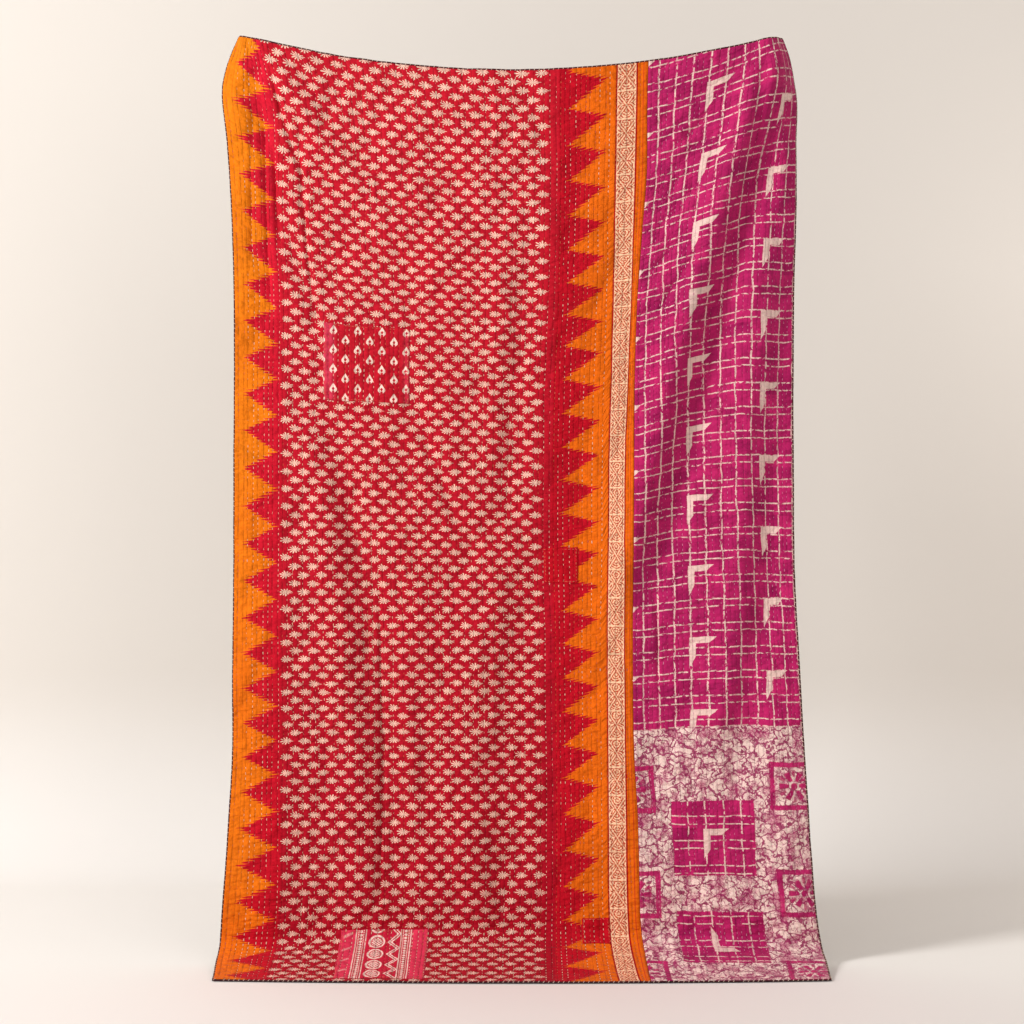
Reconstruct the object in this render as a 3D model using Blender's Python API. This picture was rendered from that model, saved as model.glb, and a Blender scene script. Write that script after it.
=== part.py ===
"""Kantha quilt, held up by its two top corners so that its foot lies on the floor.

The origin is the middle of the top edge.  +X runs to the right across the front,
+Z is up, and the front faces -Y.  All sizes are metres.

The cloth is a grid of points: columns run across it and rows run down it.  Each
sheet is cut from that one grid, at its own height above the backing, so that the
sheets lie on each other with a thin gap and never cross.
"""
import bpy
import bmesh
import numpy as np

# ---- driving dimensions ------------------------------------------------------
FLAT_LENGTH = 2.133          # the quilt laid flat, top edge to bottom hem
CORNER_RISE = 0.078          # how far the held corners stand above the middle
FLOOR = -1.935               # the floor, measured from the middle of the top edge
SAG_START, SAG_END = 0.15, 1.20     # down the cloth, where the top edge's sag dies out
BELLY = 0.020                # how far the slack middle swings forward
BELLY_TOP, BELLY_FULL, BELLY_END = 0.0, 0.6, 1.8    # down the cloth
BEND_SIDE, BEND_MIDDLE = 0.026, 0.056   # height above the floor where the foot bends
BEND_RADIUS = 0.024          # half the length of cloth that turns at the bend
FOOT_POWER = 1.6             # how quickly the foot settles onto the floor
FOOT_LIES = 0.100            # how far forward of the bend the foot lies flat
FOOT_FOLD_SHARE = 0.30       # share of each ridge's height that is left at the hem

PANEL_THICK = 0.0012         # front cloths
BACKING_THICK = 0.0015       # backing cloth
PATCH_THICK = 0.0009         # patches
GAP = 0.0003                 # air between neighbouring sheets
QUILTING = 0.0010            # height of the raised lines of quilting
EDGE_REVEAL = 0.003          # backing that shows past the front cloths

SARI_STEP = 0.0235           # spacing of columns on the sari panel
BATIK_STEP = 0.0200          # spacing of columns on the batik panel
ROW_STEP = 0.100             # spacing of rows on the long drop
TOP_ROW_STEP = 0.060         # spacing of rows near the held corners
FOOT_ROW_STEP = 0.033        # spacing of rows through the foot
TOP_ROWS_END = 0.30
FOOT_ROWS_START = 1.90

# How wide the cloth hangs at each distance down it: both edges and the seam.
OUTLINE_COLUMNS = ("down", "left", "seam", "right")
OUTLINE = (
    (0.000, -0.593, 0.296, 0.591),
    (0.050, -0.613, 0.294, 0.612),
    (0.100, -0.627, 0.293, 0.623),
    (0.236, -0.618, 0.292, 0.621),
    (0.370, -0.609, 0.282, 0.619),
    (0.546, -0.603, 0.270, 0.614),
    (0.665, -0.602, 0.266, 0.612),
    (0.931, -0.603, 0.263, 0.611),
    (1.197, -0.604, 0.261, 0.614),
    (1.360, -0.606, 0.261, 0.623),
    (1.580, -0.607, 0.265, 0.635),
    (1.695, -0.614, 0.272, 0.643),
    (1.797, -0.621, 0.275, 0.650),
    (1.920, -0.630, 0.278, 0.661),
    (1.985, -0.634, 0.283, 0.671),
    (2.133, -0.625, 0.289, 0.666),
)

# Soft folds of the hanging cloth.  Each follows a line from (x, drop) at its top
# to (x, drop) at its foot, where drop is the distance below the held corners, and
# bows sideways in between.  A step comes forward on its left and falls back on its
# right; a roll is one rounded ridge, or a trough where its rise is negative.
FOLD_COLUMNS = ("kind", "x_top", "drop_top", "x_foot", "drop_foot", "bow",
                "half_width", "rise", "fade")
FOLDS = (
    # the long slanting fold that hangs from the right-hand corner
    ("step", 0.590, 0.060, 0.281, 1.170, -0.024, 0.037, 0.0190, 0.16),
    # a second, softer one to its right
    ("step", 0.568, 0.400, 0.476, 1.560, 0.014, 0.036, 0.0100, 0.18),
    # the slack of the red field
    ("step", -0.425, 0.830, -0.345, 1.210, 0.006, 0.034, 0.0085, 0.14),
    ("step", -0.352, 1.170, -0.290, 1.900, 0.010, 0.042, 0.0095, 0.16),
    ("step", 0.008, 0.440, -0.028, 0.980, 0.004, 0.026, 0.0048, 0.12),
    ("step", -0.010, 1.200, -0.050, 1.900, -0.016, 0.044, 0.0088, 0.16),
    ("step", -0.212, 1.440, -0.198, 1.740, 0.000, 0.022, 0.0045, 0.10),
    ("roll", -0.243, 0.725, -0.100, 1.110, 0.000, 0.014, -0.0045, 0.10),
    # soft rolls beside the seam and down both borders
    ("roll", 0.235, 0.900, 0.262, 1.960, 0.000, 0.030, 0.0050, 0.20),
    ("roll", 0.150, 0.300, 0.140, 1.800, 0.006, 0.040, -0.0040, 0.25),
    ("roll", -0.530, 0.900, -0.520, 1.930, 0.000, 0.045, 0.0060, 0.22),
    # drag lines from the left-hand corner
    ("roll", -0.560, 0.110, -0.420, 0.640, -0.012, 0.016, -0.0045, 0.10),
    ("roll", -0.500, 0.060, -0.270, 0.420, -0.014, 0.026, 0.0050, 0.12),
    # a low ridge from the second fold to the foot at the right
    ("roll", 0.530, 1.250, 0.610, 1.990, 0.010, 0.030, 0.0070, 0.18),
)

# How far each side edge turns back behind the plane of the cloth.
TURN_COLUMNS = ("down", "left_depth", "left_width", "right_depth", "right_width")
TURNS = (
    (0.00, 0.022, 0.060, 0.046, 0.052),
    (0.10, 0.012, 0.050, 0.058, 0.049),
    (0.22, 0.006, 0.045, 0.040, 0.047),
    (0.35, 0.004, 0.040, 0.020, 0.045),
    (0.60, 0.002, 0.040, 0.006, 0.045),
    (1.30, 0.003, 0.040, 0.002, 0.040),
    (2.133, 0.000, 0.040, 0.000, 0.040),
)

# Patches: where their edges lie, across from the middle and down the cloth.
PATCH_COLUMNS = ("name", "left", "right", "top", "bottom")
PATCHES = (
    ("patch_arches", -0.408, -0.223, 0.602, 0.780),
    ("patch_vines", -0.357, -0.178, 1.942, 2.118),
    ("patch_border", 0.070, 0.143, 1.113, 1.191),
    ("patch_foot", 0.141, 0.199, 1.916, 1.978),
)

COLOURS = {                  # red, green, blue as light, and roughness
    "sari_panel": (0.62, 0.030, 0.030, 0.85),
    "batik_panel": (0.47, 0.026, 0.130, 0.80),
    "backing_cloth": (0.030, 0.018, 0.026, 0.90),
    "patch_arches": (0.56, 0.014, 0.028, 0.85),
    "patch_vines": (0.66, 0.035, 0.085, 0.85),
    "patch_border": (0.46, 0.004, 0.012, 0.85),
    "patch_foot": (0.46, 0.004, 0.012, 0.85),
}


# ---- small helpers -----------------------------------------------------------
def column(table, names, name):
    """One named column of a table, as an array."""
    return np.array([row[names.index(name)] for row in table], dtype=float)


def ease(low, high, value):
    """0 below low, 1 above high and a smooth turn between."""
    t = np.clip((value - low) / (high - low), 0.0, 1.0)
    return t * t * (3.0 - 2.0 * t)


def smooth_curve(at, values, where):
    """A smooth curve through the points (at, values), read at where."""
    slopes = np.gradient(values, at)
    k = np.clip(np.searchsorted(at, where) - 1, 0, len(at) - 2)
    span = at[k + 1] - at[k]
    t = np.clip((where - at[k]) / span, 0.0, 1.0)
    return ((2 * t**3 - 3 * t**2 + 1) * values[k] + (t**3 - 2 * t**2 + t) * span * slopes[k]
            + (3 * t**2 - 2 * t**3) * values[k + 1] + (t**3 - t**2) * span * slopes[k + 1])


def outline(name, down):
    """X of an edge or of the seam at a distance down the cloth."""
    return smooth_curve(column(OUTLINE, OUTLINE_COLUMNS, "down"),
                        column(OUTLINE, OUTLINE_COLUMNS, name), down)


# ---- the hanging shape -------------------------------------------------------
def arch(across):
    """1 in the middle of the cloth and 0 at both edges."""
    return 4.0 * across * (1.0 - across)


def drop_below_corners(across, down):
    """How far a point hangs below the held corners, above the bend."""
    return down + CORNER_RISE * arch(across) * (1.0 - ease(SAG_START, SAG_END, down))


def foot_profile(across, down):
    """Forward travel and height above the floor of columns of cloth that bend."""
    samples = np.linspace(0.0, FLAT_LENGTH, 1200)
    step = samples[1] - samples[0]
    forward = np.zeros_like(down)
    height = np.zeros_like(down)
    for c in range(down.shape[0]):
        bend = BEND_SIDE + (BEND_MIDDLE - BEND_SIDE) * arch(across[c, -1])
        start = CORNER_RISE - FLOOR - bend
        foot = FLAT_LENGTH - start
        q = np.clip((samples - start) / foot, 0.0, 1.0)
        fall = FOOT_POWER * bend / foot * (1.0 - q) ** (FOOT_POWER - 1.0)
        turned = ease(start - BEND_RADIUS, start + BEND_RADIUS, samples)
        fall = 1.0 + (fall - 1.0) * turned
        heights = np.cumsum((fall * step)[::-1])[::-1]
        heights = (heights - heights[-1]) * (CORNER_RISE - FLOOR) / (heights[0] - heights[-1])
        travel = np.cumsum(np.sqrt(np.clip(1.0 - fall**2, 0.0, 1.0)) * step)
        forward[c] = np.interp(down[c], samples, travel)
        height[c] = np.interp(down[c], samples, heights)
    return forward, height


def fold_relief(x, drop):
    """Height of all the soft folds above the plane of the cloth."""
    relief = np.zeros_like(x)
    for row in FOLDS:
        fold = dict(zip(FOLD_COLUMNS, row))
        along = (drop - fold["drop_top"]) / (fold["drop_foot"] - fold["drop_top"])
        middle = (fold["x_top"] + (fold["x_foot"] - fold["x_top"]) * along
                  + fold["bow"] * arch(np.clip(along, 0.0, 1.0)))
        off = (x - middle) / fold["half_width"]
        here = (ease(fold["drop_top"] - fold["fade"], fold["drop_top"] + fold["fade"], drop)
                * (1.0 - ease(fold["drop_foot"] - fold["fade"], fold["drop_foot"] + fold["fade"], drop)))
        if fold["kind"] == "step":
            shape = -off * np.exp(0.5 * (1.0 - off**2))
        else:
            shape = np.exp(-0.5 * off**2)
        relief += fold["rise"] * here * shape
    return relief


def edge_turn(x, down):
    """How far the cloth near a side edge turns back."""
    at = column(TURNS, TURN_COLUMNS, "down")
    turn = np.zeros_like(x)
    for side, sign in (("left", 1.0), ("right", -1.0)):
        depth = np.interp(down, at, column(TURNS, TURN_COLUMNS, side + "_depth"))
        width = np.interp(down, at, column(TURNS, TURN_COLUMNS, side + "_width"))
        inward = sign * (x - outline(side, down))
        turn -= depth * np.clip(1.0 - inward / width, 0.0, 1.0) ** 2
    return turn


def cloth_points(across, down):
    """The back cloth's front face: one point for each column and row."""
    left, right = outline("left", down), outline("right", down)
    x = left + (right - left) * across
    forward, height = foot_profile(across, down)
    drop = drop_below_corners(across, down)
    sag = drop - down
    relief = fold_relief(x, drop) + edge_turn(x, down)
    lying = ease(0.0, FOOT_LIES, forward)
    lifted = BACKING_THICK + FOOT_FOLD_SHARE * np.maximum(relief, 0.0)
    belly = (BELLY * arch(across) * ease(BELLY_TOP, BELLY_FULL, down)
             * (1.0 - ease(BELLY_FULL, BELLY_END, down)))
    y = -(forward + belly + relief * (1.0 - lying))
    z = FLOOR + height - sag + lifted * lying
    return np.stack((x, y, z), axis=-1)


def face_normals(points):
    """Which way the front of the cloth faces at each point of the grid."""
    along_columns = np.gradient(points, axis=0)
    along_rows = np.gradient(points, axis=1)
    normals = np.cross(along_rows, along_columns)
    return normals / np.linalg.norm(normals, axis=-1, keepdims=True)


# ---- the grid ----------------------------------------------------------------
def steps_between(low, high, step):
    """Even values from low to high, no further apart than step."""
    return list(np.linspace(low, high, int(np.ceil((high - low) / step)) + 1))


def patch_marks(*names):
    """Where the named edges of all the patches lie."""
    return sorted({patch[PATCH_COLUMNS.index(name)] for patch in PATCHES for name in names})


def moved_onto(values, marks):
    """The values, with the nearest inner one moved onto each mark."""
    values = list(values)
    for mark in marks:
        inner = range(2, len(values) - 2)
        nearest = min(inner, key=lambda k: abs(values[k] - mark))
        values[nearest] = mark
    return sorted(values)


def grid_columns():
    """Where the columns lie across a middling row, and the seam's column."""
    down = np.array([FLAT_LENGTH * 0.45])
    left, seam, right = (outline(name, down)[0] for name in ("left", "seam", "right"))
    sari = steps_between(left + EDGE_REVEAL, seam - GAP, SARI_STEP)
    batik = steps_between(seam + GAP, right - EDGE_REVEAL, BATIK_STEP)
    sari = moved_onto(sari, patch_marks("left", "right"))
    places = [left] + sari + batik + [right]
    return np.array(places), len(sari)


def grid_rows():
    """Where the rows lie down the cloth."""
    rows = (steps_between(EDGE_REVEAL, TOP_ROWS_END, TOP_ROW_STEP)
            + steps_between(TOP_ROWS_END, FOOT_ROWS_START, ROW_STEP)[1:]
            + steps_between(FOOT_ROWS_START, FLAT_LENGTH - EDGE_REVEAL, FOOT_ROW_STEP)[1:])
    return np.array([0.0] + moved_onto(rows, patch_marks("top", "bottom")) + [FLAT_LENGTH])


def grid_surface(places, sari_columns, rows):
    """Points and normals of the whole cloth, with the seam kept on its own line."""
    down = np.tile(rows, (len(places), 1))
    middling = np.array([FLAT_LENGTH * 0.45])
    left, seam, right = (outline(name, middling)[0] for name in ("left", "seam", "right"))
    row_left, row_seam, row_right = (outline(name, down) for name in ("left", "seam", "right"))
    x = places[:, None]
    on_sari = row_left + (row_seam - row_left) * (x - left) / (seam - left)
    on_batik = row_seam + (row_right - row_seam) * (x - seam) / (right - seam)
    across = (np.where(x <= seam, on_sari, on_batik) - row_left) / (row_right - row_left)
    points = cloth_points(across, down)
    return points, face_normals(points)


# ---- solids ------------------------------------------------------------------
def closed_sheet(name, points, normals, under, over):
    """One closed sheet on a block of the grid, from under to over its surface."""
    columns, rows = points.shape[:2]
    mesh = bmesh.new()
    layers = []
    for offset in (under, over):
        place = points + normals * np.broadcast_to(offset, (columns, rows))[..., None]
        layers.append([[mesh.verts.new(place[i, j]) for j in range(rows)] for i in range(columns)])
    back, front = layers
    for i in range(columns - 1):
        for j in range(rows - 1):
            a, b, c, d = (front[i][j], front[i][j + 1], front[i + 1][j + 1], front[i + 1][j])
            mesh.faces.new((a, b, d))
            mesh.faces.new((b, c, d))
            a, b, c, d = (back[i][j], back[i][j + 1], back[i + 1][j + 1], back[i + 1][j])
            mesh.faces.new((a, d, b))
            mesh.faces.new((b, d, c))
    rim = ([(i, 0) for i in range(columns)] + [(columns - 1, j) for j in range(1, rows)]
           + [(i, rows - 1) for i in range(columns - 2, -1, -1)] + [(0, j) for j in range(rows - 2, 0, -1)])
    for (i, j), (k, m) in zip(rim, rim[1:] + rim[:1]):
        mesh.faces.new((front[i][j], front[k][m], back[k][m]))
        mesh.faces.new((front[i][j], back[k][m], back[i][j]))
    data = bpy.data.meshes.new(name)
    mesh.to_mesh(data)
    mesh.free()
    piece = bpy.data.objects.new(name, data)
    bpy.context.scene.collection.objects.link(piece)
    piece.data.materials.append(cloth_material(name))
    return piece


def cloth_material(name):
    """A plain woven cotton in the piece's own colour."""
    red, green, blue, roughness = COLOURS[name]
    material = bpy.data.materials.new(name)
    material.use_nodes = True
    shader = material.node_tree.nodes["Principled BSDF"]
    shader.inputs["Base Color"].default_value = (red, green, blue, 1.0)
    shader.inputs["Roughness"].default_value = roughness
    shader.inputs["Metallic"].default_value = 0.0
    return material


def build_quilt():
    """Cut every sheet from the one hanging grid."""
    places, sari_columns = grid_columns()
    rows = grid_rows()
    points, normals = grid_surface(places, sari_columns, rows)
    ridges = np.zeros(points.shape[:2])
    ridges[2:-2:2, :] = QUILTING
    ridges[[sari_columns, sari_columns + 1], :] = 0.0
    face = GAP + PANEL_THICK + ridges

    closed_sheet("backing_cloth", points, normals, -BACKING_THICK, 0.0)
    inner = slice(1, len(rows) - 1)
    for name, block in (("sari_panel", slice(1, sari_columns + 1)),
                        ("batik_panel", slice(sari_columns + 1, len(places) - 1))):
        closed_sheet(name, points[block, inner], normals[block, inner], GAP, face[block, inner])
    for name, left, right, top, bottom in PATCHES:
        block = (slice(np.argmin(abs(places - left)), np.argmin(abs(places - right)) + 1),
                 slice(np.argmin(abs(rows - top)), np.argmin(abs(rows - bottom)) + 1))
        lies_on = face[block] + GAP
        closed_sheet(name, points[block], normals[block], lies_on, lies_on + PATCH_THICK)


def clear_scene():
    for piece in list(bpy.data.objects):
        bpy.data.objects.remove(piece, do_unlink=True)


clear_scene()
build_quilt()
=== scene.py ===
"""Looks of the kantha quilt, built round its hanging solids.

The quilt hangs from its top corners and its foot lies forward on the floor.  All
sizes are metres.  Two sets of places are used.  Hanging places are X, Y and Z.
Flat places are measured on the cloth laid flat: across from its left edge, and
down from its top edge.  Prints, quilting and threads are set out on the flat
cloth, and one finely woven grid carries them to where they hang.
"""
import math
from functools import reduce
import bpy
import numpy as np
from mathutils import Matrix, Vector


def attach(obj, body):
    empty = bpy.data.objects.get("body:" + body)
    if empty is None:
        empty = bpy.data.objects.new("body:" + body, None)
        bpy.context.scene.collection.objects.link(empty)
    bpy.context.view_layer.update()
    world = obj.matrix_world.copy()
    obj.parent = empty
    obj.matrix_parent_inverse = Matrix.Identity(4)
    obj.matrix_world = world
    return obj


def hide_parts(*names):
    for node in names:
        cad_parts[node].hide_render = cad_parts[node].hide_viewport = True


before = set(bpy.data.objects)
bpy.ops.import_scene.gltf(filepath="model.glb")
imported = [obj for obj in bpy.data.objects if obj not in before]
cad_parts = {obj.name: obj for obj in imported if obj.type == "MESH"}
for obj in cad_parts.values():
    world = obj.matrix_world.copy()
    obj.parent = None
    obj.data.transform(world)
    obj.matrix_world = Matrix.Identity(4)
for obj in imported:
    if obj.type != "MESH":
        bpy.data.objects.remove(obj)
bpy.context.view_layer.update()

# ---- the hanging shape, as the solids have it --------------------------------
FLAT_LENGTH = 2.133
CORNER_RISE = 0.078
FLOOR = -1.935
SAG_START, SAG_END = 0.15, 1.20
BELLY = 0.020
BELLY_TOP, BELLY_FULL, BELLY_END = 0.0, 0.6, 1.8
BEND_SIDE, BEND_MIDDLE = 0.026, 0.056
BEND_RADIUS = 0.024
FOOT_POWER = 1.6
FOOT_LIES = 0.100
FOOT_FOLD_SHARE = 0.30
FOOT_SAMPLES = 1200           # steps down the cloth by which it bends
PANEL_THICK = 0.0012
BACKING_THICK = 0.0015
PATCH_THICK = 0.0009
GAP = 0.0003

OUTLINE_COLUMNS = ("down", "left", "seam", "right")
OUTLINE = (
    (0.000, -0.593, 0.296, 0.591),
    (0.050, -0.613, 0.294, 0.612),
    (0.100, -0.627, 0.293, 0.623),
    (0.236, -0.618, 0.292, 0.621),
    (0.370, -0.609, 0.282, 0.619),
    (0.546, -0.603, 0.270, 0.614),
    (0.665, -0.602, 0.266, 0.612),
    (0.931, -0.603, 0.263, 0.611),
    (1.197, -0.604, 0.261, 0.614),
    (1.360, -0.606, 0.261, 0.623),
    (1.580, -0.607, 0.265, 0.635),
    (1.695, -0.614, 0.272, 0.643),
    (1.797, -0.621, 0.275, 0.650),
    (1.920, -0.630, 0.278, 0.661),
    (1.985, -0.634, 0.283, 0.671),
    (2.133, -0.625, 0.289, 0.666),
)

FOLD_COLUMNS = ("kind", "x_top", "drop_top", "x_foot", "drop_foot", "bow",
                "half_width", "rise", "fade")
FOLDS = (
    # the long slanting fold that hangs from the right-hand corner
    ("step", 0.590, 0.060, 0.281, 1.170, -0.024, 0.037, 0.0190, 0.16),
    # a second, softer one to its right
    ("step", 0.568, 0.400, 0.476, 1.560, 0.014, 0.036, 0.0100, 0.18),
    # the slack of the red field
    ("step", -0.425, 0.830, -0.345, 1.210, 0.006, 0.034, 0.0085, 0.14),
    ("step", -0.352, 1.170, -0.290, 1.900, 0.010, 0.042, 0.0095, 0.16),
    ("step", 0.008, 0.440, -0.028, 0.980, 0.004, 0.026, 0.0048, 0.12),
    ("step", -0.010, 1.200, -0.050, 1.900, -0.016, 0.044, 0.0088, 0.16),
    ("step", -0.212, 1.440, -0.198, 1.740, 0.000, 0.022, 0.0045, 0.10),
    ("roll", -0.243, 0.725, -0.100, 1.110, 0.000, 0.014, -0.0045, 0.10),
    # soft rolls beside the seam and down both borders
    ("roll", 0.235, 0.900, 0.262, 1.960, 0.000, 0.030, 0.0050, 0.20),
    ("roll", 0.150, 0.300, 0.140, 1.800, 0.006, 0.040, -0.0040, 0.25),
    ("roll", -0.530, 0.900, -0.520, 1.930, 0.000, 0.045, 0.0060, 0.22),
    # drag lines from the left-hand corner
    ("roll", -0.560, 0.110, -0.420, 0.640, -0.012, 0.016, -0.0045, 0.10),
    ("roll", -0.500, 0.060, -0.270, 0.420, -0.014, 0.026, 0.0050, 0.12),
    # a low ridge from the second fold to the foot at the right
    ("roll", 0.530, 1.250, 0.610, 1.990, 0.010, 0.030, 0.0070, 0.18),
)

TURN_COLUMNS = ("down", "left_depth", "left_width", "right_depth", "right_width")
TURNS = (
    (0.00, 0.022, 0.060, 0.046, 0.052),
    (0.10, 0.012, 0.050, 0.058, 0.049),
    (0.22, 0.006, 0.045, 0.040, 0.047),
    (0.35, 0.004, 0.040, 0.020, 0.045),
    (0.60, 0.002, 0.040, 0.006, 0.045),
    (1.30, 0.003, 0.040, 0.002, 0.040),
    (2.133, 0.000, 0.040, 0.000, 0.040),
)

PATCHES = (
    # solid, left, right, top, bottom
    ("patch_arches", -0.408, -0.223, 0.602, 0.780),
    ("patch_vines", -0.357, -0.178, 1.942, 2.118),
    ("patch_border", 0.070, 0.143, 1.113, 1.191),
    ("patch_foot", 0.141, 0.199, 1.916, 1.978),
)

# ---- finer creases, only in the looks ----------------------------------------
# Each is a soft trough or ridge along a line between two places, given as X and as
# the drop below the held corners.
CREASE_COLUMNS = ("x_from", "drop_from", "x_to", "drop_to", "bow", "half_width", "rise")
CREASES = (
    # a sharp crease down the left of the red field
    (-0.288, 1.228, -0.289, 1.888, 0.006, 0.0036, -0.0042),
    (-0.300, 1.228, -0.302, 1.800, 0.006, 0.0080, 0.0024),
    # short level creases across the field and both borders
    (-0.459, 0.872, -0.351, 0.884, 0.004, 0.0060, -0.0022),
    (-0.606, 1.588, -0.394, 1.594, 0.006, 0.0065, -0.0026),
    (0.093, 1.100, 0.262, 1.090, -0.003, 0.0060, -0.0024),
    (0.093, 1.628, 0.385, 1.606, 0.008, 0.0065, -0.0030),
    (0.100, 1.386, 0.258, 1.380, 0.003, 0.0060, -0.0020),
    (0.080, 1.780, 0.262, 1.786, 0.004, 0.0060, -0.0020),
    (-0.600, 1.140, -0.505, 1.146, 0.002, 0.0060, -0.0018),
    (-0.604, 0.640, -0.500, 0.652, 0.003, 0.0060, -0.0016),
    # pulled lines below the left-hand corner
    (-0.459, 0.210, -0.422, 0.621, -0.008, 0.0042, -0.0056),
    (-0.520, 0.090, -0.445, 0.330, -0.006, 0.0042, -0.0056),
    (-0.536, 0.180, -0.520, 0.620, -0.004, 0.0038, -0.0042),
    (-0.563, 0.140, -0.566, 0.520, 0.000, 0.0036, -0.0034),
    (-0.516, 0.240, -0.502, 0.470, -0.003, 0.0038, -0.0050),
    (-0.560, 0.060, -0.500, 0.330, -0.006, 0.0080, -0.0026),
    (-0.520, 0.040, -0.380, 0.300, -0.008, 0.0100, 0.0024),
    # sharp creases beside the seam in the batik
    (0.307, 1.206, 0.314, 1.4225, 0.003, 0.0036, -0.0044),
    (0.303, 0.946, 0.307, 1.055, 0.002, 0.0036, -0.0036),
    (0.310, 1.314, 0.385, 1.249, 0.004, 0.0050, -0.0032),
    (0.320, 1.368, 0.407, 1.314, 0.004, 0.0050, -0.0032),
    (0.329, 1.444, 0.418, 1.401, -0.003, 0.0050, -0.0030),
    (0.268, 0.617, 0.310, 0.604, 0.003, 0.0046, -0.0040),
    (0.310, 0.604, 0.353, 0.535, -0.004, 0.0046, -0.0042),
    (0.346, 0.561, 0.407, 0.470, 0.005, 0.0050, -0.0036),
    (0.300, 0.520, 0.372, 0.445, 0.003, 0.0050, -0.0030),
    (0.310, 0.430, 0.390, 0.345, 0.003, 0.0065, -0.0022),
    (0.330, 0.360, 0.404, 0.290, 0.003, 0.0065, -0.0020),
    (0.455, 0.930, 0.457, 1.180, 0.004, 0.0060, -0.0022),
    (0.430, 1.040, 0.410, 1.260, 0.003, 0.0060, -0.0018),
    # puckers in the field
    (-0.290, 1.060, -0.262, 1.092, 0.002, 0.0060, -0.0022),
    (-0.030, 0.300, -0.006, 0.332, 0.002, 0.0060, -0.0018),
    (-0.190, 0.880, -0.120, 1.060, 0.004, 0.0080, -0.0024),
    (-0.060, 1.240, -0.052, 1.460, 0.003, 0.0070, -0.0020),
    (0.020, 1.480, 0.016, 1.860, 0.004, 0.0080, -0.0024),
    (-0.420, 1.300, -0.406, 1.700, 0.004, 0.0080, -0.0022),
    # the tight fold under the right-hand corner
    (0.553, 0.040, 0.508, 0.360, -0.004, 0.0095, -0.0100),
    (0.578, 0.040, 0.534, 0.360, -0.004, 0.0100, 0.0040),
    (0.480, 0.080, 0.420, 0.330, 0.010, 0.0120, -0.0030),
    # slanting puckers across the top of the batik
    (0.318, 0.250, 0.378, 0.186, 0.003, 0.0050, -0.0030),
    (0.326, 0.280, 0.400, 0.206, 0.003, 0.0050, -0.0030),
    (0.345, 0.306, 0.424, 0.224, 0.003, 0.0055, -0.0026),
    (0.372, 0.240, 0.428, 0.176, 0.003, 0.0050, -0.0028),
    (0.310, 0.212, 0.352, 0.160, 0.003, 0.0050, -0.0026),
    (0.400, 0.150, 0.452, 0.098, 0.003, 0.0055, -0.0024),
    (0.440, 0.250, 0.480, 0.180, 0.003, 0.0055, -0.0024),
    # the hem stands up in one small arch
    (0.349, 1.960, 0.351, 2.060, 0.000, 0.0100, 0.0085),
)
CRUMPLES = (
    # spacing across, spacing down, lean, height, seed
    (0.075, 0.200, 0.00, 0.0025, 11),
    (0.034, 0.090, 0.45, 0.0020, 12),
    (0.030, 0.080, -0.35, 0.0013, 14),
    (0.017, 0.030, 0.00, 0.0008, 13),
)
CRUMPLE_SHARPNESS = 0.6       # 0 for hills as high as its hollows, 1 for hollows alone
PUCKER_REACH = 0.030          # how far the gathers run out from a patch
PUCKER_HEIGHT = 0.0010
PUCKER_SPACING = (0.011, 0.014)

# ---- the flat cloth ----------------------------------------------------------
# Lines printed down the cloth: where they lie flat, and X where they hang.
LINE_NAMES = ("left", "border", "field_end", "band_left", "band_right", "seam",
              "marks_1", "middle", "marks_2", "right")
LINES_FLAT = (0.0, 0.101, 0.6885, 0.812, 0.8465, 0.8655, 0.9845, 1.0548, 1.141, 1.2255)
HANG_COLUMNS = ("down", "border", "field_end", "band_left", "band_right",
                "marks_1", "middle", "marks_2")
HANGS = (
    (0.00, -0.547, 0.1020, 0.2280, 0.2710, 0.4295, 0.5070, 0.5740),
    (0.08, -0.524, 0.1020, 0.2265, 0.2700, 0.4215, 0.4995, 0.5880),
    (0.17, -0.510, 0.1020, 0.2250, 0.2680, 0.4130, 0.4870, 0.5770),
    (0.26, -0.509, 0.1015, 0.2235, 0.2660, 0.4035, 0.4735, 0.5600),
    (0.40, -0.508, 0.1000, 0.2210, 0.2620, 0.3880, 0.4610, 0.5465),
    (0.53, -0.500, 0.0960, 0.2185, 0.2580, 0.3820, 0.4540, 0.5400),
    (0.66, -0.500, 0.0910, 0.2155, 0.2530, 0.3790, 0.4520, 0.5360),
    (0.92, -0.500, 0.0860, 0.2095, 0.2440, 0.3780, 0.4520, 0.5340),
    (1.06, -0.501, 0.0840, 0.2090, 0.2430, 0.3800, 0.4530, 0.5380),
    (1.29, -0.501, 0.0900, 0.2060, 0.2430, 0.3830, 0.4595, 0.5470),
    (1.46, -0.500, 0.0915, 0.2070, 0.2445, 0.3850, 0.4630, 0.5530),
    (1.60, -0.502, 0.0930, 0.2080, 0.2460, 0.3880, 0.4640, 0.5540),
    (1.75, -0.501, 0.0940, 0.2090, 0.2480, 0.3950, 0.4680, 0.5580),
    (1.88, -0.504, 0.0930, 0.2100, 0.2500, 0.4020, 0.4760, 0.5670),
    (1.97, -0.510, 0.0920, 0.2130, 0.2540, 0.4090, 0.4845, 0.5775),
    (2.133, -0.514, 0.0900, 0.2235, 0.2660, 0.4135, 0.4870, 0.5780),
)
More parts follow.
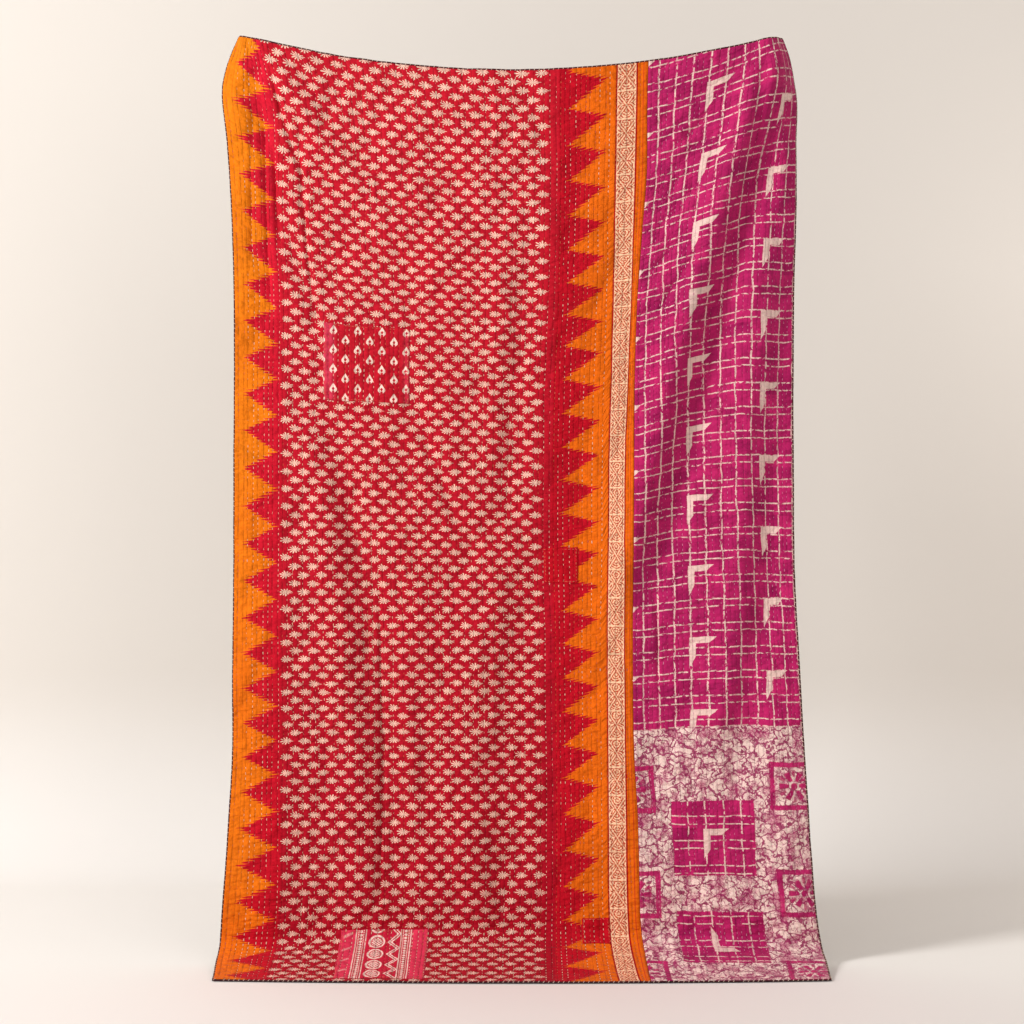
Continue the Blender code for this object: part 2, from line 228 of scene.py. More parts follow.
# How far the print hangs below its flat place, where slack cloth has slid.
DRIFT_POINTS_AT = 0.69        # across, where the points of the right border drift
DRIFT_ENDS_AT = 0.792         # and from where this fades out towards the band
DRIFT_BATIK_AT = (0.875, 0.975, 1.043, 1.105, 1.204)
DRIFT_COLUMNS = ("down", "left", "points", "seam", "marks", "middle", "fold", "edge")
DRIFTS = (
    (0.00, -0.021, -0.008, 0.039, 0.026, 0.012, 0.003, -0.004),
    (0.25, -0.014, 0.002, 0.036, 0.017, 0.008, -0.002, 0.002),
    (0.45, -0.008, 0.013, 0.034, 0.013, 0.002, -0.010, 0.007),
    (0.66, -0.002, 0.014, 0.034, 0.011, -0.003, -0.005, 0.007),
    (0.87, 0.002, 0.029, 0.038, 0.009, 0.003, 0.002, 0.006),
    (1.06, 0.014, 0.033, 0.028, 0.011, 0.006, 0.003, 0.008),
    (1.28, 0.021, 0.018, 0.020, 0.007, 0.002, 0.001, 0.003),
    (1.46, 0.016, 0.012, 0.012, 0.004, 0.001, 0.000, 0.002),
    (1.62, 0.008, 0.004, 0.004, 0.002, 0.000, 0.000, 0.000),
    (1.88, 0.012, 0.013, 0.000, 0.000, 0.000, 0.000, 0.000),
    (2.05, 0.007, -0.003, 0.000, 0.000, 0.000, 0.000, 0.000),
    (2.133, 0.003, -0.002, 0.000, 0.000, 0.000, 0.000, 0.000),
)
FLAT_WIDTH = LINES_FLAT[-1]
SEAM_FLAT = LINES_FLAT[LINE_NAMES.index("seam")]
CELL = 0.0037                 # spacing of the fine grid across
ROW_CELL = 0.0062             # and down
RIBBON_STEPS = 900            # steps across by which a row of cloth is measured
PATCHES_LEVEL = 0.45          # share of the way down where a patch's X is measured
EDGE = 0.003                  # how far inside the backing's edge the front cloths end
LOFT = 0.0004                 # room left between the hidden faces
SEAM_DIP = (0.0003, 0.0008, 0.0018)   # extra columns where the cloth dips to the seam
TUCK_REACH = 0.0022           # how far from the seam the cloth is tucked down
TUCK_SHARE = 0.4              # and its share of the thickness at the seam
PATCH_CELL = 0.0025
PATCH_WOBBLE = 0.0012         # how far a patch's edges stray
PATCH_TURN = 0.0022           # how far in from its edge a patch is turned under
PATCH_EDGE_SHARE = 0.15       # its share of the thickness at that edge
PATCH_RIM = 0.0003            # how much thicker its turned edge is
PATCH_RIM_REACH = 0.005
PATCH_INSET = 0.0035          # how far inside its edge its stitches run
HEM_WIDTH = 0.0042            # the backing's edge, rolled over to the front
HEM_THICK = 0.0036
HEM_FOOT = 0.62               # the hem's thickness along the foot, as a share
HEM_RISE = 0.0003
HEM_UNEVEN = 0.10
HEM_INSET = HEM_WIDTH / 2 - 0.0004
HEM_SIDES = 8
HEM_CORNER = 0.006
HEM_STEP = 0.008
HEM_PALE = 3                  # the side of the roll where its pale fold shows
WHIP_PITCH = 0.0104
WHIP_REACH = 125              # degrees round the hem, either way
WHIP_TURNS = 6
WHIP_WIDTH = 0.0015
WHIP_SLANT = 0.0010

# ---- quilting ----------------------------------------------------------------
LINE_SPACING = 0.0108         # spacing of the lines of running stitch
LINE_UNEVEN = 0.24            # share of that by which a line is out of place
LINE_WANDER = 0.0016          # how far a line strays
WANDER_SPACING = (0.060, 0.110)
PUFF = 0.0013                 # how far the cloth stands up between two lines
PUFF_POWER = 0.8              # below 1 its hills are broad and its grooves narrow
PUFF_FULLNESS, PUFF_UNEVEN = 0.75, 0.40
PUFF_SPACING = (0.013, 0.020)
BACK_PUFF = 0.7               # the back's share of that
STITCH_PITCH = 0.0112
BACK_PITCH = 0.0120           # the stitches of the back are a little longer apart
STITCH_LENGTH = 0.0058
THREAD_WIDTH = 0.0017
THREAD_HEIGHT = 0.0007
THREAD_SINK = 0.0001
LINE_STEP = 0.018             # spacing of points along a line of stitching
LINE_INSET = 0.009            # how far from the top and the foot a line stops
LINE_CLEAR = 0.005            # and how far from the sides and the seam
WANDER_ROUNDS = 3             # rounds in which a line settles on where it strays
PATCH_PITCH = 0.0075
PATCH_RUN_STEP = 0.010
GROOVE_SHARE = 0.10           # of the way to the next line that a groove reaches
GROOVE_DEPTH = 0.0007
GROOVE_PAINTED_SHADE = 0.30           # painted shade: how much darker the cloth's colour is made in a groove
WEAVE = 0.0008                # spacing of the threads of the cloth
PALE_LINES = 0.55             # share of the sari panel's lines that are off-white


# ---- small helpers -----------------------------------------------------------
def column(table, names, name):
    """One named column of a table, as an array."""
    return np.array([row[names.index(name)] for row in table], dtype=float)


def ease(low, high, value):
    """0 below low, 1 above high and a smooth turn between."""
    t = np.clip((value - low) / (high - low), 0.0, 1.0)
    return t * t * (3.0 - 2.0 * t)


def smooth_curve(at, values, where):
    """A smooth curve through the points (at, values), read at where."""
    slopes = np.gradient(values, at)
    k = np.clip(np.searchsorted(at, where) - 1, 0, len(at) - 2)
    span = at[k + 1] - at[k]
    t = np.clip((where - at[k]) / span, 0.0, 1.0)
    return ((2 * t**3 - 3 * t**2 + 1) * values[k] + (t**3 - 2 * t**2 + t) * span * slopes[k]
            + (3 * t**2 - 2 * t**3) * values[k + 1] + (t**3 - t**2) * span * slopes[k + 1])


def unevenness(across, down, spacing_across, spacing_down, seed):
    """Smooth seeded hills and hollows, from -1 to 1, over the flat cloth."""
    size = (int(FLAT_WIDTH / spacing_across) + 4, int(FLAT_LENGTH / spacing_down) + 4)
    heights = np.random.default_rng(seed).uniform(-1.0, 1.0, size)
    i = np.clip(across / spacing_across + 1.0, 0.0, size[0] - 1.001)
    j = np.clip(down / spacing_down + 1.0, 0.0, size[1] - 1.001)
    a, b = i.astype(int), j.astype(int)
    s, t = ease(0.0, 1.0, i - a), ease(0.0, 1.0, j - b)
    return ((heights[a, b] * (1 - s) + heights[a + 1, b] * s) * (1 - t)
            + (heights[a, b + 1] * (1 - s) + heights[a + 1, b + 1] * s) * t)


# ---- the drape ---------------------------------------------------------------
def outline(name, down):
    """X of an edge or of the seam at a distance down the cloth."""
    return smooth_curve(column(OUTLINE, OUTLINE_COLUMNS, "down"),
                        column(OUTLINE, OUTLINE_COLUMNS, name), down)


def arch(across):
    """1 in the middle of the cloth and 0 at both edges."""
    return 4.0 * across * (1.0 - across)


def drop_below_corners(across, down):
    """How far a point hangs below the held corners, above the bend."""
    return down + CORNER_RISE * arch(across) * (1.0 - ease(SAG_START, SAG_END, down))


def foot_profile(across, down):
    """Forward travel and height above the floor of columns of cloth that bend."""
    samples = np.linspace(0.0, FLAT_LENGTH, FOOT_SAMPLES)
    step = samples[1] - samples[0]
    forward = np.zeros_like(down)
    height = np.zeros_like(down)
    for c in range(down.shape[0]):
        bend = BEND_SIDE + (BEND_MIDDLE - BEND_SIDE) * arch(across[c, -1])
        start = CORNER_RISE - FLOOR - bend
        foot = FLAT_LENGTH - start
        q = np.clip((samples - start) / foot, 0.0, 1.0)
        fall = FOOT_POWER * bend / foot * (1.0 - q) ** (FOOT_POWER - 1.0)
        turned = ease(start - BEND_RADIUS, start + BEND_RADIUS, samples)
        fall = 1.0 + (fall - 1.0) * turned
        heights = np.cumsum((fall * step)[::-1])[::-1]
        heights = (heights - heights[-1]) * (CORNER_RISE - FLOOR) / (heights[0] - heights[-1])
        travel = np.cumsum(np.sqrt(np.clip(1.0 - fall**2, 0.0, 1.0)) * step)
        forward[c] = np.interp(down[c], samples, travel)
        height[c] = np.interp(down[c], samples, heights)
    return forward, height


def fold_relief(x, drop):
    """Height of all the soft folds above the plane of the cloth."""
    relief = np.zeros_like(x)
    for row in FOLDS:
        fold = dict(zip(FOLD_COLUMNS, row))
        top, foot, fade = fold["drop_top"], fold["drop_foot"], fold["fade"]
        along = (drop - top) / (foot - top)
        middle = (fold["x_top"] + (fold["x_foot"] - fold["x_top"]) * along
                  + fold["bow"] * arch(np.clip(along, 0.0, 1.0)))
        off = (x - middle) / fold["half_width"]
        here = ease(top - fade, top + fade, drop) * (1.0 - ease(foot - fade, foot + fade, drop))
        if fold["kind"] == "step":
            shape = -off * np.exp(0.5 * (1.0 - off**2))
        else:
            shape = np.exp(-0.5 * off**2)
        relief += fold["rise"] * here * shape
    return relief


def edge_turn(x, down):
    """How far the cloth near a side edge turns back."""
    at = column(TURNS, TURN_COLUMNS, "down")
    turn = np.zeros_like(x)
    for side, sign in (("left", 1.0), ("right", -1.0)):
        depth = np.interp(down, at, column(TURNS, TURN_COLUMNS, side + "_depth"))
        width = np.interp(down, at, column(TURNS, TURN_COLUMNS, side + "_width"))
        inward = sign * (x - outline(side, down))
        turn -= depth * np.clip(1.0 - inward / width, 0.0, 1.0) ** 2
    return turn


def crease_relief(x, drop):
    """Height of the finer creases, each a trough or ridge along its own line."""
    relief = np.zeros_like(x)
    for row in CREASES:
        crease = dict(zip(CREASE_COLUMNS, row))
        start = np.array((crease["x_from"], crease["drop_from"]))
        run = np.array((crease["x_to"], crease["drop_to"])) - start
        length = np.hypot(*run)
        run = run / length
        along = ((x - start[0]) * run[0] + (drop - start[1]) * run[1]) / length
        aside = (x - start[0]) * run[1] - (drop - start[1]) * run[0]
        aside = aside - crease["bow"] * arch(np.clip(along, 0.0, 1.0))
        taper = ease(-0.12, 0.25, along) * (1.0 - ease(0.75, 1.12, along))
        relief += crease["rise"] * taper * np.exp(-0.5 * (aside / crease["half_width"]) ** 2)
    return relief


def cloth_points(across, down, extra=0.0):
    """The back cloth's front face, where extra is any relief beyond the folds."""
    left, right = outline("left", down), outline("right", down)
    x = left + (right - left) * across
    forward, height = foot_profile(across, down)
    drop = drop_below_corners(across, down)
    sag = drop - down
    relief = fold_relief(x, drop) + edge_turn(x, down)
    extra = extra + crease_relief(x, drop)
    lying = ease(0.0, FOOT_LIES, forward)
    lifted = (BACKING_THICK + FOOT_FOLD_SHARE * np.maximum(relief, 0.0)
              + np.maximum(extra, 0.0))
    belly = (BELLY * arch(across) * ease(BELLY_TOP, BELLY_FULL, down)
             * (1.0 - ease(BELLY_FULL, BELLY_END, down)))
    y = -(forward + belly + (relief + extra) * (1.0 - lying))
    z = FLOOR + height - sag + lifted * lying
    return np.stack((x, y, z), axis=-1)


def face_normals(points):
    """Which way the front of the cloth faces at each point of the grid."""
    along_columns = np.gradient(points, axis=0)
    along_rows = np.gradient(points, axis=1)
    normals = np.cross(along_rows, along_columns)
    return normals / np.linalg.norm(normals, axis=-1, keepdims=True)


# ---- the fine grid -----------------------------------------------------------
def line_places(down):
    """X of every printed line at each distance down: one row for each line."""
    at = column(HANGS, HANG_COLUMNS, "down")
    return np.array([outline(name, down) if name in OUTLINE_COLUMNS
                     else smooth_curve(at, column(HANGS, HANG_COLUMNS, name), down)
                     for name in LINE_NAMES])


def flat_columns():
    """Flat places of the grid's columns, with one on every printed line."""
    places = [0.0, EDGE, FLAT_WIDTH - EDGE]
    for low, high in zip(LINES_FLAT, LINES_FLAT[1:]):
        count = int(np.ceil((high - low) / CELL))
        places += list(np.linspace(low, high, count + 1)[1:])
    places += [SEAM_FLAT + sign * dip for sign in (-1, 1) for dip in SEAM_DIP]
    return np.array(sorted(places))


def flat_rows():
    """Flat places of the grid's rows."""
    even = np.linspace(0.0, FLAT_LENGTH, int(round(FLAT_LENGTH / ROW_CELL)) + 1)
    return np.sort(np.append(even, (EDGE, FLAT_LENGTH - EDGE)))


def crumple(across, down):
    """Small hills and hollows of washed cloth, and the gathers round each patch."""
    relief = np.zeros_like(across)
    for spacing_across, spacing_down, lean, height, seed in CRUMPLES:
        room = 1.0 + abs(lean) * FLAT_LENGTH / FLAT_WIDTH
        along = down if lean > 0.0 else FLAT_LENGTH - down
        leaning = (across + abs(lean) * along) / room
        hills = unevenness(leaning, down, spacing_across / room, spacing_down, seed)
        relief += height * (hills - CRUMPLE_SHARPNESS * np.abs(hills))
    gathers = PUCKER_HEIGHT * unevenness(across, down, *PUCKER_SPACING, 21)
    for _, left, right, top, bottom in patch_places():
        outside = np.hypot(np.maximum(np.maximum(left - across, across - right), 0.0),
                           np.maximum(np.maximum(top - down, down - bottom), 0.0))
        relief += gathers * np.exp(-outside / PUCKER_REACH)
    return relief


def patch_places():
    """Flat places of every patch: name, left, right, top, bottom."""
    def sides(level):
        return [outline(side, np.array([level]))[0] for side in ("left", "seam")]

    left_at, seam_at = sides(FLAT_LENGTH * PATCHES_LEVEL)
    places = []
    for name, left, right, top, bottom in PATCHES:
        level = (top + bottom) / 2
        row_left, row_seam = sides(level)
        stretch = (row_seam - row_left) / (seam_at - left_at)
        ends = [row_left + (x - left_at) * stretch for x in (left, right)]
        low, high = np.interp(ends, line_places(np.array([level]))[:, 0], LINES_FLAT)
        places.append((name, low, high, top, bottom))
    return places


def woven_grid():
    """Columns, rows, points and facings of the fine grid, in flat and hanging places."""
    flat = flat_columns()
    rows = flat_rows()
    share, down = np.meshgrid(np.linspace(0.0, 1.0, RIBBON_STEPS), rows, indexing="ij")
    ribbon = cloth_points(share, down)
    stretch = np.linalg.norm(np.diff(ribbon, axis=0), axis=-1)
    travel = np.vstack((np.zeros(len(rows)), np.cumsum(stretch, axis=0)))
    lines = line_places(rows)
    across = np.zeros((len(flat), len(rows)))
    for j in range(len(rows)):
        at_lines = np.interp(lines[:, j], ribbon[:, j, 0], travel[:, j])
        across[:, j] = np.interp(np.interp(flat, LINES_FLAT, at_lines), travel[:, j], share[:, j])
    flat_grid, down = np.meshgrid(flat, rows, indexing="ij")
    points = cloth_points(across, down, crumple(flat_grid, down))
    return flat, rows, points, face_normals(points)


def drift(across, down):
    """How far the print hangs below its flat place."""
    at = column(DRIFTS, DRIFT_COLUMNS, "down")
    left, points, *batik = [np.interp(down, at, column(DRIFTS, DRIFT_COLUMNS, name))
                            for name in DRIFT_COLUMNS[1:]]
    on_sari = left + (points - left) * np.clip(across / DRIFT_POINTS_AT, 0.0, 1.0)
    on_sari = on_sari * (1.0 - ease(DRIFT_ENDS_AT, LINES_FLAT[3], across))
    on_batik = batik[0].copy()
    for low, high, value, beyond in zip(DRIFT_BATIK_AT, DRIFT_BATIK_AT[1:], batik, batik[1:]):
        on_batik += np.clip((across - low) / (high - low), 0.0, 1.0) * (beyond - value)
    return np.where(across < SEAM_FLAT, on_sari, on_batik)


FLAT, ROWS, POINTS, FACINGS = woven_grid()


def on_grid(field, across, down):
    """The grid's values read at flat places between its points."""
    i = np.interp(across, FLAT, np.arange(len(FLAT)))
    j = np.interp(down, ROWS, np.arange(len(ROWS)))
    a = np.minimum(i.astype(int), len(FLAT) - 2)
    b = np.minimum(j.astype(int), len(ROWS) - 2)
    s, t = (i - a)[..., None], (j - b)[..., None]
    return ((field[a, b] * (1 - s) + field[a + 1, b] * s) * (1 - t)
            + (field[a, b + 1] * (1 - s) + field[a + 1, b + 1] * s) * t)


def place_on_cloth(across, down, height):
    """Hanging places and facings of flat places, at a height over the backing."""
    facing = on_grid(FACINGS, across, down)
    facing = facing / np.linalg.norm(facing, axis=-1, keepdims=True)
    return on_grid(POINTS, across, down) + facing * np.asarray(height)[..., None], facing


# ---- quilting ----------------------------------------------------------------
def wander(across, down):
    """How far the lines of stitching stray sideways."""
    return LINE_WANDER * unevenness(across, down, *WANDER_SPACING, 31)


def quilting_lines():
    """Flat places of every line of stitching, unevenly spaced as they are by hand."""
    count = int(FLAT_WIDTH / LINE_SPACING)
    stray = np.random.default_rng(33).uniform(-1.0, 1.0, count + 1)
    return (np.arange(count + 1) + LINE_UNEVEN * stray) * LINE_SPACING


QUILTING = quilting_lines()


def line_count(across, down):
    """How many lines of stitching lie to the left, and whole on each line."""
    return np.interp(across + wander(across, down), QUILTING, np.arange(len(QUILTING)))


def puff(across, down):
    """How far the cloth stands up between the lines of stitching."""
    ripple = np.abs(np.sin(np.pi * line_count(across, down))) ** PUFF_POWER
    fullness = PUFF_FULLNESS + PUFF_UNEVEN * unevenness(across, down, *PUFF_SPACING, 32)
    return PUFF * (ripple * fullness)


def front_height(across, down):
    """Height of the front cloths over the backing's front face."""
    tuck = ease(0.0, TUCK_REACH, np.abs(across - SEAM_FLAT))
    thick = (PANEL_THICK - LOFT) * (TUCK_SHARE + (1.0 - TUCK_SHARE) * tuck)
    return GAP + LOFT + thick + puff(across, down) * tuck


def back_height(across, down):
    """Height of the quilt's back, which is below the backing's front face."""
    return -BACKING_THICK - BACK_PUFF * puff(across, down)


def patched_height(across, down):
    """Height of the quilt's front, on top of its patches."""
    height = front_height(across, down)
    for _, left, right, top, bottom in patch_places():
        inside = (across > left) & (across < right) & (down > top) & (down < bottom)
        height = height + (GAP + PATCH_THICK) * inside
    return height


# ---- materials: the arithmetic of a print -------------------------------------
def ink(red, green, blue):
    """A dye's colour as light, from the usual 0 to 255 of a colour chart."""
    light = [((c / 255.0 + 0.055) / 1.055) ** 2.4 for c in (red, green, blue)]
    return (*light, 1.0)


def set_inputs(node, inputs):
    """Links each input, by name or number, to a socket, or sets its value."""
    for place, value in inputs.items():
        value = getattr(value, "socket", value)
        if isinstance(value, bpy.types.NodeSocket):
            node.id_data.links.new(value, node.inputs[place])
        else:
            node.inputs[place].default_value = value


def add_node(tree, kind, inputs=None, **settings):
    """A new node with its settings, and its inputs linked or set."""
    node = tree.nodes.new(kind)
    for name, value in settings.items():
        setattr(node, name, value)
    set_inputs(node, inputs or {})
    return node


def new_material(name, inputs):
    """A new material, and its shader with those inputs set."""
    material = bpy.data.materials.new(name)
    material.use_nodes = True
    shader = material.node_tree.nodes["Principled BSDF"]
    set_inputs(shader, inputs)
    return material, shader


class Value:
    """One number of a print, with the Math nodes that arithmetic on it adds."""

    def __init__(self, socket):
        self.socket = socket

    def math(self, operation, *others, clamp=False):
        """The result of a Math node on this number and the others."""
        node = add_node(self.socket.id_data, "ShaderNodeMath", dict(enumerate((self, *others))),
                        operation=operation, use_clamp=clamp)
        return Value(node.outputs[0])

    def __add__(self, other):
        return self.math("ADD", other)

    def __sub__(self, other):
        return self.math("SUBTRACT", other)

    def __rsub__(self, other):
        return self.math("MULTIPLY_ADD", -1.0, other)

    def __mul__(self, other):
        return self.math("MULTIPLY", other)

    def __truediv__(self, other):
        return self.math("DIVIDE", other)

    def __mod__(self, other):
        return self.math("FLOORED_MODULO", other)

    def __abs__(self):
        return self.math("ABSOLUTE")

    def floor(self):
        return self.math("FLOOR")

    def sine(self):
        return self.math("SINE")

    def least(self, other):
        return self.math("MINIMUM", other)

    def most(self, other):
        return self.math("MAXIMUM", other)

    def reach(self, other):
        """Distance from the origin, this number being one way and the other across it."""
        return (self * self + other * other).math("SQRT")

    def past(self, edge, blur):
        """1 past the edge and 0 before it, turning over a width of blur."""
        if isinstance(edge, Value):
            return (self - edge).math("MULTIPLY_ADD", 1.0 / blur, 0.5, clamp=True)
        return self.math("MULTIPLY_ADD", 1.0 / blur, 0.5 - edge / blur, clamp=True)

    def before(self, edge, blur):
        """1 before the edge and 0 past it."""
        if isinstance(edge, Value):
            return (edge - self).math("MULTIPLY_ADD", 1.0 / blur, 0.5, clamp=True)
        return self.math("MULTIPLY_ADD", -1.0 / blur, 0.5 + edge / blur, clamp=True)

    def near(self, middle, half_width, blur):
        """1 within half a width of the middle."""
        return abs(self - middle).before(half_width, blur)

    def to_middle(self, pitch):
        """Distance from the middle of each repeat, negative before it."""
        return self % pitch - pitch / 2.0

    __radd__ = __add__
    __rmul__ = __mul__


class Cloth:
    """A cloth's material: flat places to print by, and the weave's own finish."""

    def __init__(self, name, roughness, sheen, quilted=True):
        self.material, self.shader = new_material(name, {
            "Specular IOR Level": 0.12, "Sheen Weight": sheen, "Sheen Roughness": 0.45})
        self.flat, self.across, self.down = self.places("flat")
        self.quilted = quilted
        self.roughness = roughness

    def node(self, kind, inputs=None, **settings):
        """A new node of this material."""
        return add_node(self.material.node_tree, kind, inputs, **settings)

    def places(self, map_name):
        """A UV map's socket, and its two numbers."""
        places = self.node("ShaderNodeUVMap", uv_map=map_name).outputs["UV"]
        parts = self.node("ShaderNodeSeparateXYZ", {0: places})
        return places, Value(parts.outputs["X"]), Value(parts.outputs["Y"])

    def groove(self):
        """1 along the lines of stitching, where the cloth is drawn in, and 0 between."""
        from_middle = abs(self.places("lines")[1].to_middle(1.0))
        drawn = self.grain(0.016, stretch=(1.0, 0.6), seed=31.0).past(0.47, 0.30)
        return from_middle.past(0.5 - GROOVE_SHARE, GROOVE_SHARE) * (drawn * 0.8 + 0.2)

    def grain(self, size, detail=2.0, stretch=(1.0, 1.0), seed=0.0, lean=0.0):
        """Soft unevenness from 0 to 1, with hills about as far apart as size."""
        mapping = self.node("ShaderNodeMapping", {
            "Vector": self.flat, "Rotation": (0.0, 0.0, lean),
            "Scale": (stretch[0] / size, stretch[1] / size, 1.0),
            "Location": (seed * 3.7, seed * 5.3, 0.0)})
        noise = self.node("ShaderNodeTexNoise", {"Vector": mapping.outputs["Vector"], "Scale": 1.0,
                                                 "Detail": detail}, noise_dimensions="2D")
        return Value(noise.outputs[0])

    def chance(self, first, second=0.0):
        """One chance number from 0 to 1 for each pair of whole numbers."""
        pair = self.node("ShaderNodeCombineXYZ", {0: first, 1: second})
        noise = self.node("ShaderNodeTexWhiteNoise", {"Vector": pair.outputs[0]},
                          noise_dimensions="2D")
        return Value(noise.outputs["Value"])

    def cracks(self, size, across, down):
        """Distance from the nearest crack of a net about as coarse as size."""
        pair = self.node("ShaderNodeCombineXYZ", {0: across, 1: down})
        net = self.node("ShaderNodeTexVoronoi", {"Vector": pair.outputs[0], "Scale": 1.0 / size},
                        voronoi_dimensions="2D", feature="DISTANCE_TO_EDGE")
        return Value(net.outputs["Distance"]) * size

    def blend(self, first, second, amount):
        """A colour part of the way from the first to the second."""
        mix = self.node("ShaderNodeMix", {0: amount, 6: first, 7: second}, data_type="RGBA")
        return mix.outputs[2]

    def clouded(self, first, second, size, detail=2.0):
        """The first colour with soft clouds of the second, about as far apart as size."""
        return self.blend(first, second, self.grain(size, detail, seed=6.0))

    def worn(self, amount):
        """How light handling and sun have left each place, 1 where they changed nothing."""
        tone = self.grain(0.110, 3.0, seed=1.0) * 0.55 + self.grain(0.014, 3.0, seed=2.0) * 0.45
        slub = self.grain(0.0022, stretch=(1.0, 0.18), seed=3.0)
        return (tone - 0.5) * amount * 2.4 + (slub - 0.5) * amount * 2.0 + 1.0

    def finish(self, colour, wear=0.10, shade=GROOVE_PAINTED_SHADE):
        """Sets the colour, with painted shade in the grooves, and the weave, crinkle and
        roughness.
        """
        turn = 2.0 * math.pi / WEAVE
        threads = (self.across * turn).sine() * (self.down * turn).sine()
        crinkle = self.grain(0.0060, stretch=(0.55, 1.0), seed=4.0, lean=0.35)
        pucker = self.grain(0.0120, 1.0, stretch=(0.50, 1.0), seed=5.0, lean=0.60)
        height = threads * 0.00004 + crinkle * 0.0022 + pucker * 0.0052
        light = self.worn(wear)
        if self.quilted:
            groove = self.groove()
            height = height - groove * GROOVE_DEPTH
            # painted shade: the colour is darkened along the grooves of the quilting
            light = light * (groove * shade * -1.0 + 1.0)
        bump = self.node("ShaderNodeBump", {"Distance": 1.0, "Strength": 1.0, "Height": height})
        dyed = self.node("ShaderNodeVectorMath", {0: colour, "Scale": light}, operation="SCALE")
        set_inputs(self.shader, {"Base Color": dyed.outputs[0], "Normal": bump.outputs["Normal"],
                                 "Roughness": crinkle * 0.16 + (self.roughness - 0.08)})
        return self.material


# ---- dyes ----------------------------------------------------------------------
ORANGE = ink(240, 136, 12)
ORANGE_DEEP = ink(224, 97, 4)
ORANGE_LIGHT = ink(234, 106, 8)
RED = ink(206, 20, 46)
RED_DEEP = ink(188, 4, 30)
FIELD_RED = ink(197, 19, 40)
FIELD_RED_DEEP = ink(168, 2, 30)
CREAM = ink(250, 217, 194)
BAND_CREAM = ink(255, 208, 168)
BAND_GAP = ink(206, 92, 40)
BAND_GAP_DEEP = ink(180, 58, 56)
BAND_RED = ink(168, 12, 14)
MAGENTA = ink(200, 36, 104)
MAGENTA_DEEP = ink(150, 14, 80)
BATIK_CREAM = ink(240, 206, 194)
CRACKLE_CREAM = ink(246, 214, 204)
CRACKLE_PINK = ink(196, 112, 134)
CRACK_DYE = ink(152, 22, 86)
CRIMSON = ink(204, 22, 44)
CRIMSON_DEEP = ink(178, 14, 32)
CRIMSON_LINE = ink(150, 8, 30)
CRIMSON_FADED = ink(222, 70, 100)
ARCH_CREAM = ink(250, 220, 204)
PINK = ink(230, 58, 90)
PINK_DEEP = ink(206, 44, 74)
VINE_RED = ink(196, 26, 56)
VINE_CREAM = ink(248, 220, 206)
PLAIN_RED = ink(204, 6, 30)
PLAIN_RED_DEEP = ink(176, 4, 26)
DARK = ink(70, 42, 44)
DARK_DEEP = ink(44, 28, 40)
HEM_DARK = ink(74, 30, 34)
HEM_FOLD = ink(228, 196, 168)
OFF_WHITE = ink(246, 206, 178)
EDGING = ink(226, 200, 178)
FADED_RED = ink(212, 96, 66)
FADED_PINK = ink(220, 132, 164)


# ---- the sari panel's prints ---------------------------------------------------
FEATHER = 0.0062              # spacing of the feathered ends of a temple point
FEATHER_REACH = 0.0150
FEATHERS = ((FEATHER, FEATHER_REACH, 4.0), (FEATHER / 2.1, FEATHER_REACH * 0.45, 8.0))
FEATHER_SLOPE = 0.25          # the strands rise to the right
LEFT_POINT = 0.078            # from one red point of the left border to the next
LEFT_POINT_FIRST = -0.002
LEFT_POINT_LONG = 0.066
LEFT_POINT_FOOT = 0.091       # how far across its foot is
RIGHT_POINT = 0.0758
RIGHT_POINT_FIRST = 0.0472
RIGHT_POINT_LONG = 0.078
RIGHT_POINT_FOOT = 0.711
BORDER_WEAR_AND_SHADE = (0.22, 0.26)    # how worn the borders are, and how much painted shade darkens their grooves
# how worn the batik is, and how much painted shade darkens its grooves
BATIK_WEAR_AND_SHADE = (0.12, 0.18)


def feathered(cloth, leaning):
    """How far each strand of a temple point's edge strays along its own run."""
    stray = 0.0
    for pitch, reach, seed in FEATHERS:
        along = leaning / pitch
        taper = abs(along.to_middle(1.0)) * 2.0 - 0.5
        length = cloth.chance(along.floor(), seed) + 0.55
        stray = taper * length * reach + stray
    return stray


def zigzag(down, first, pitch):
    """1 at the tips of the red points and 0 half way between."""
    return abs((down - (first - pitch / 2.0)).to_middle(pitch)) * (-2.0 / pitch) + 1.0


def left_border():
    """Orange border with red points towards the edge and a plain red strip."""
    cloth = Cloth("orange_border_print", 0.82, 0.03)
    across, down = cloth.across, cloth.down
    edge = zigzag(down, LEFT_POINT_FIRST, LEFT_POINT) * -LEFT_POINT_LONG + LEFT_POINT_FOOT
    red = across.past(edge + feathered(cloth, down + across * 0.10), 0.0009)
    # the orange deepens towards the foot, with soft clouds, and the red points deepen towards the
    # foot too
    clouds = down * 0.30 + cloth.grain(0.30, 1.0, seed=6.0) * 0.5
    orange = cloth.blend(ORANGE, ORANGE_DEEP, clouds)
    points = cloth.blend(RED, RED_DEEP, (down * 0.5).least(1.0))
    return cloth.finish(cloth.blend(orange, points, red), *BORDER_WEAR_AND_SHADE)


def right_border():
    """The field's plain red edge, then red points over orange."""
    cloth = Cloth("orange_points_print", 0.82, 0.03)
    across = cloth.across
    leaning = cloth.down + (across - 0.745) * FEATHER_SLOPE
    edge = zigzag(leaning, RIGHT_POINT_FIRST, RIGHT_POINT) * RIGHT_POINT_LONG + RIGHT_POINT_FOOT
    red = across.before(edge - feathered(cloth, leaning), 0.0009)
    colour = cloth.blend(cloth.clouded(ORANGE_DEEP, ORANGE_LIGHT, 0.30, 1.0), RED_DEEP, red)
    beside_band = across.past(LINES_FLAT[3] - BAND_RED_OUTSIDE, 0.0005)
    return cloth.finish(cloth.blend(colour, BAND_RED, beside_band), *BORDER_WEAR_AND_SHADE)


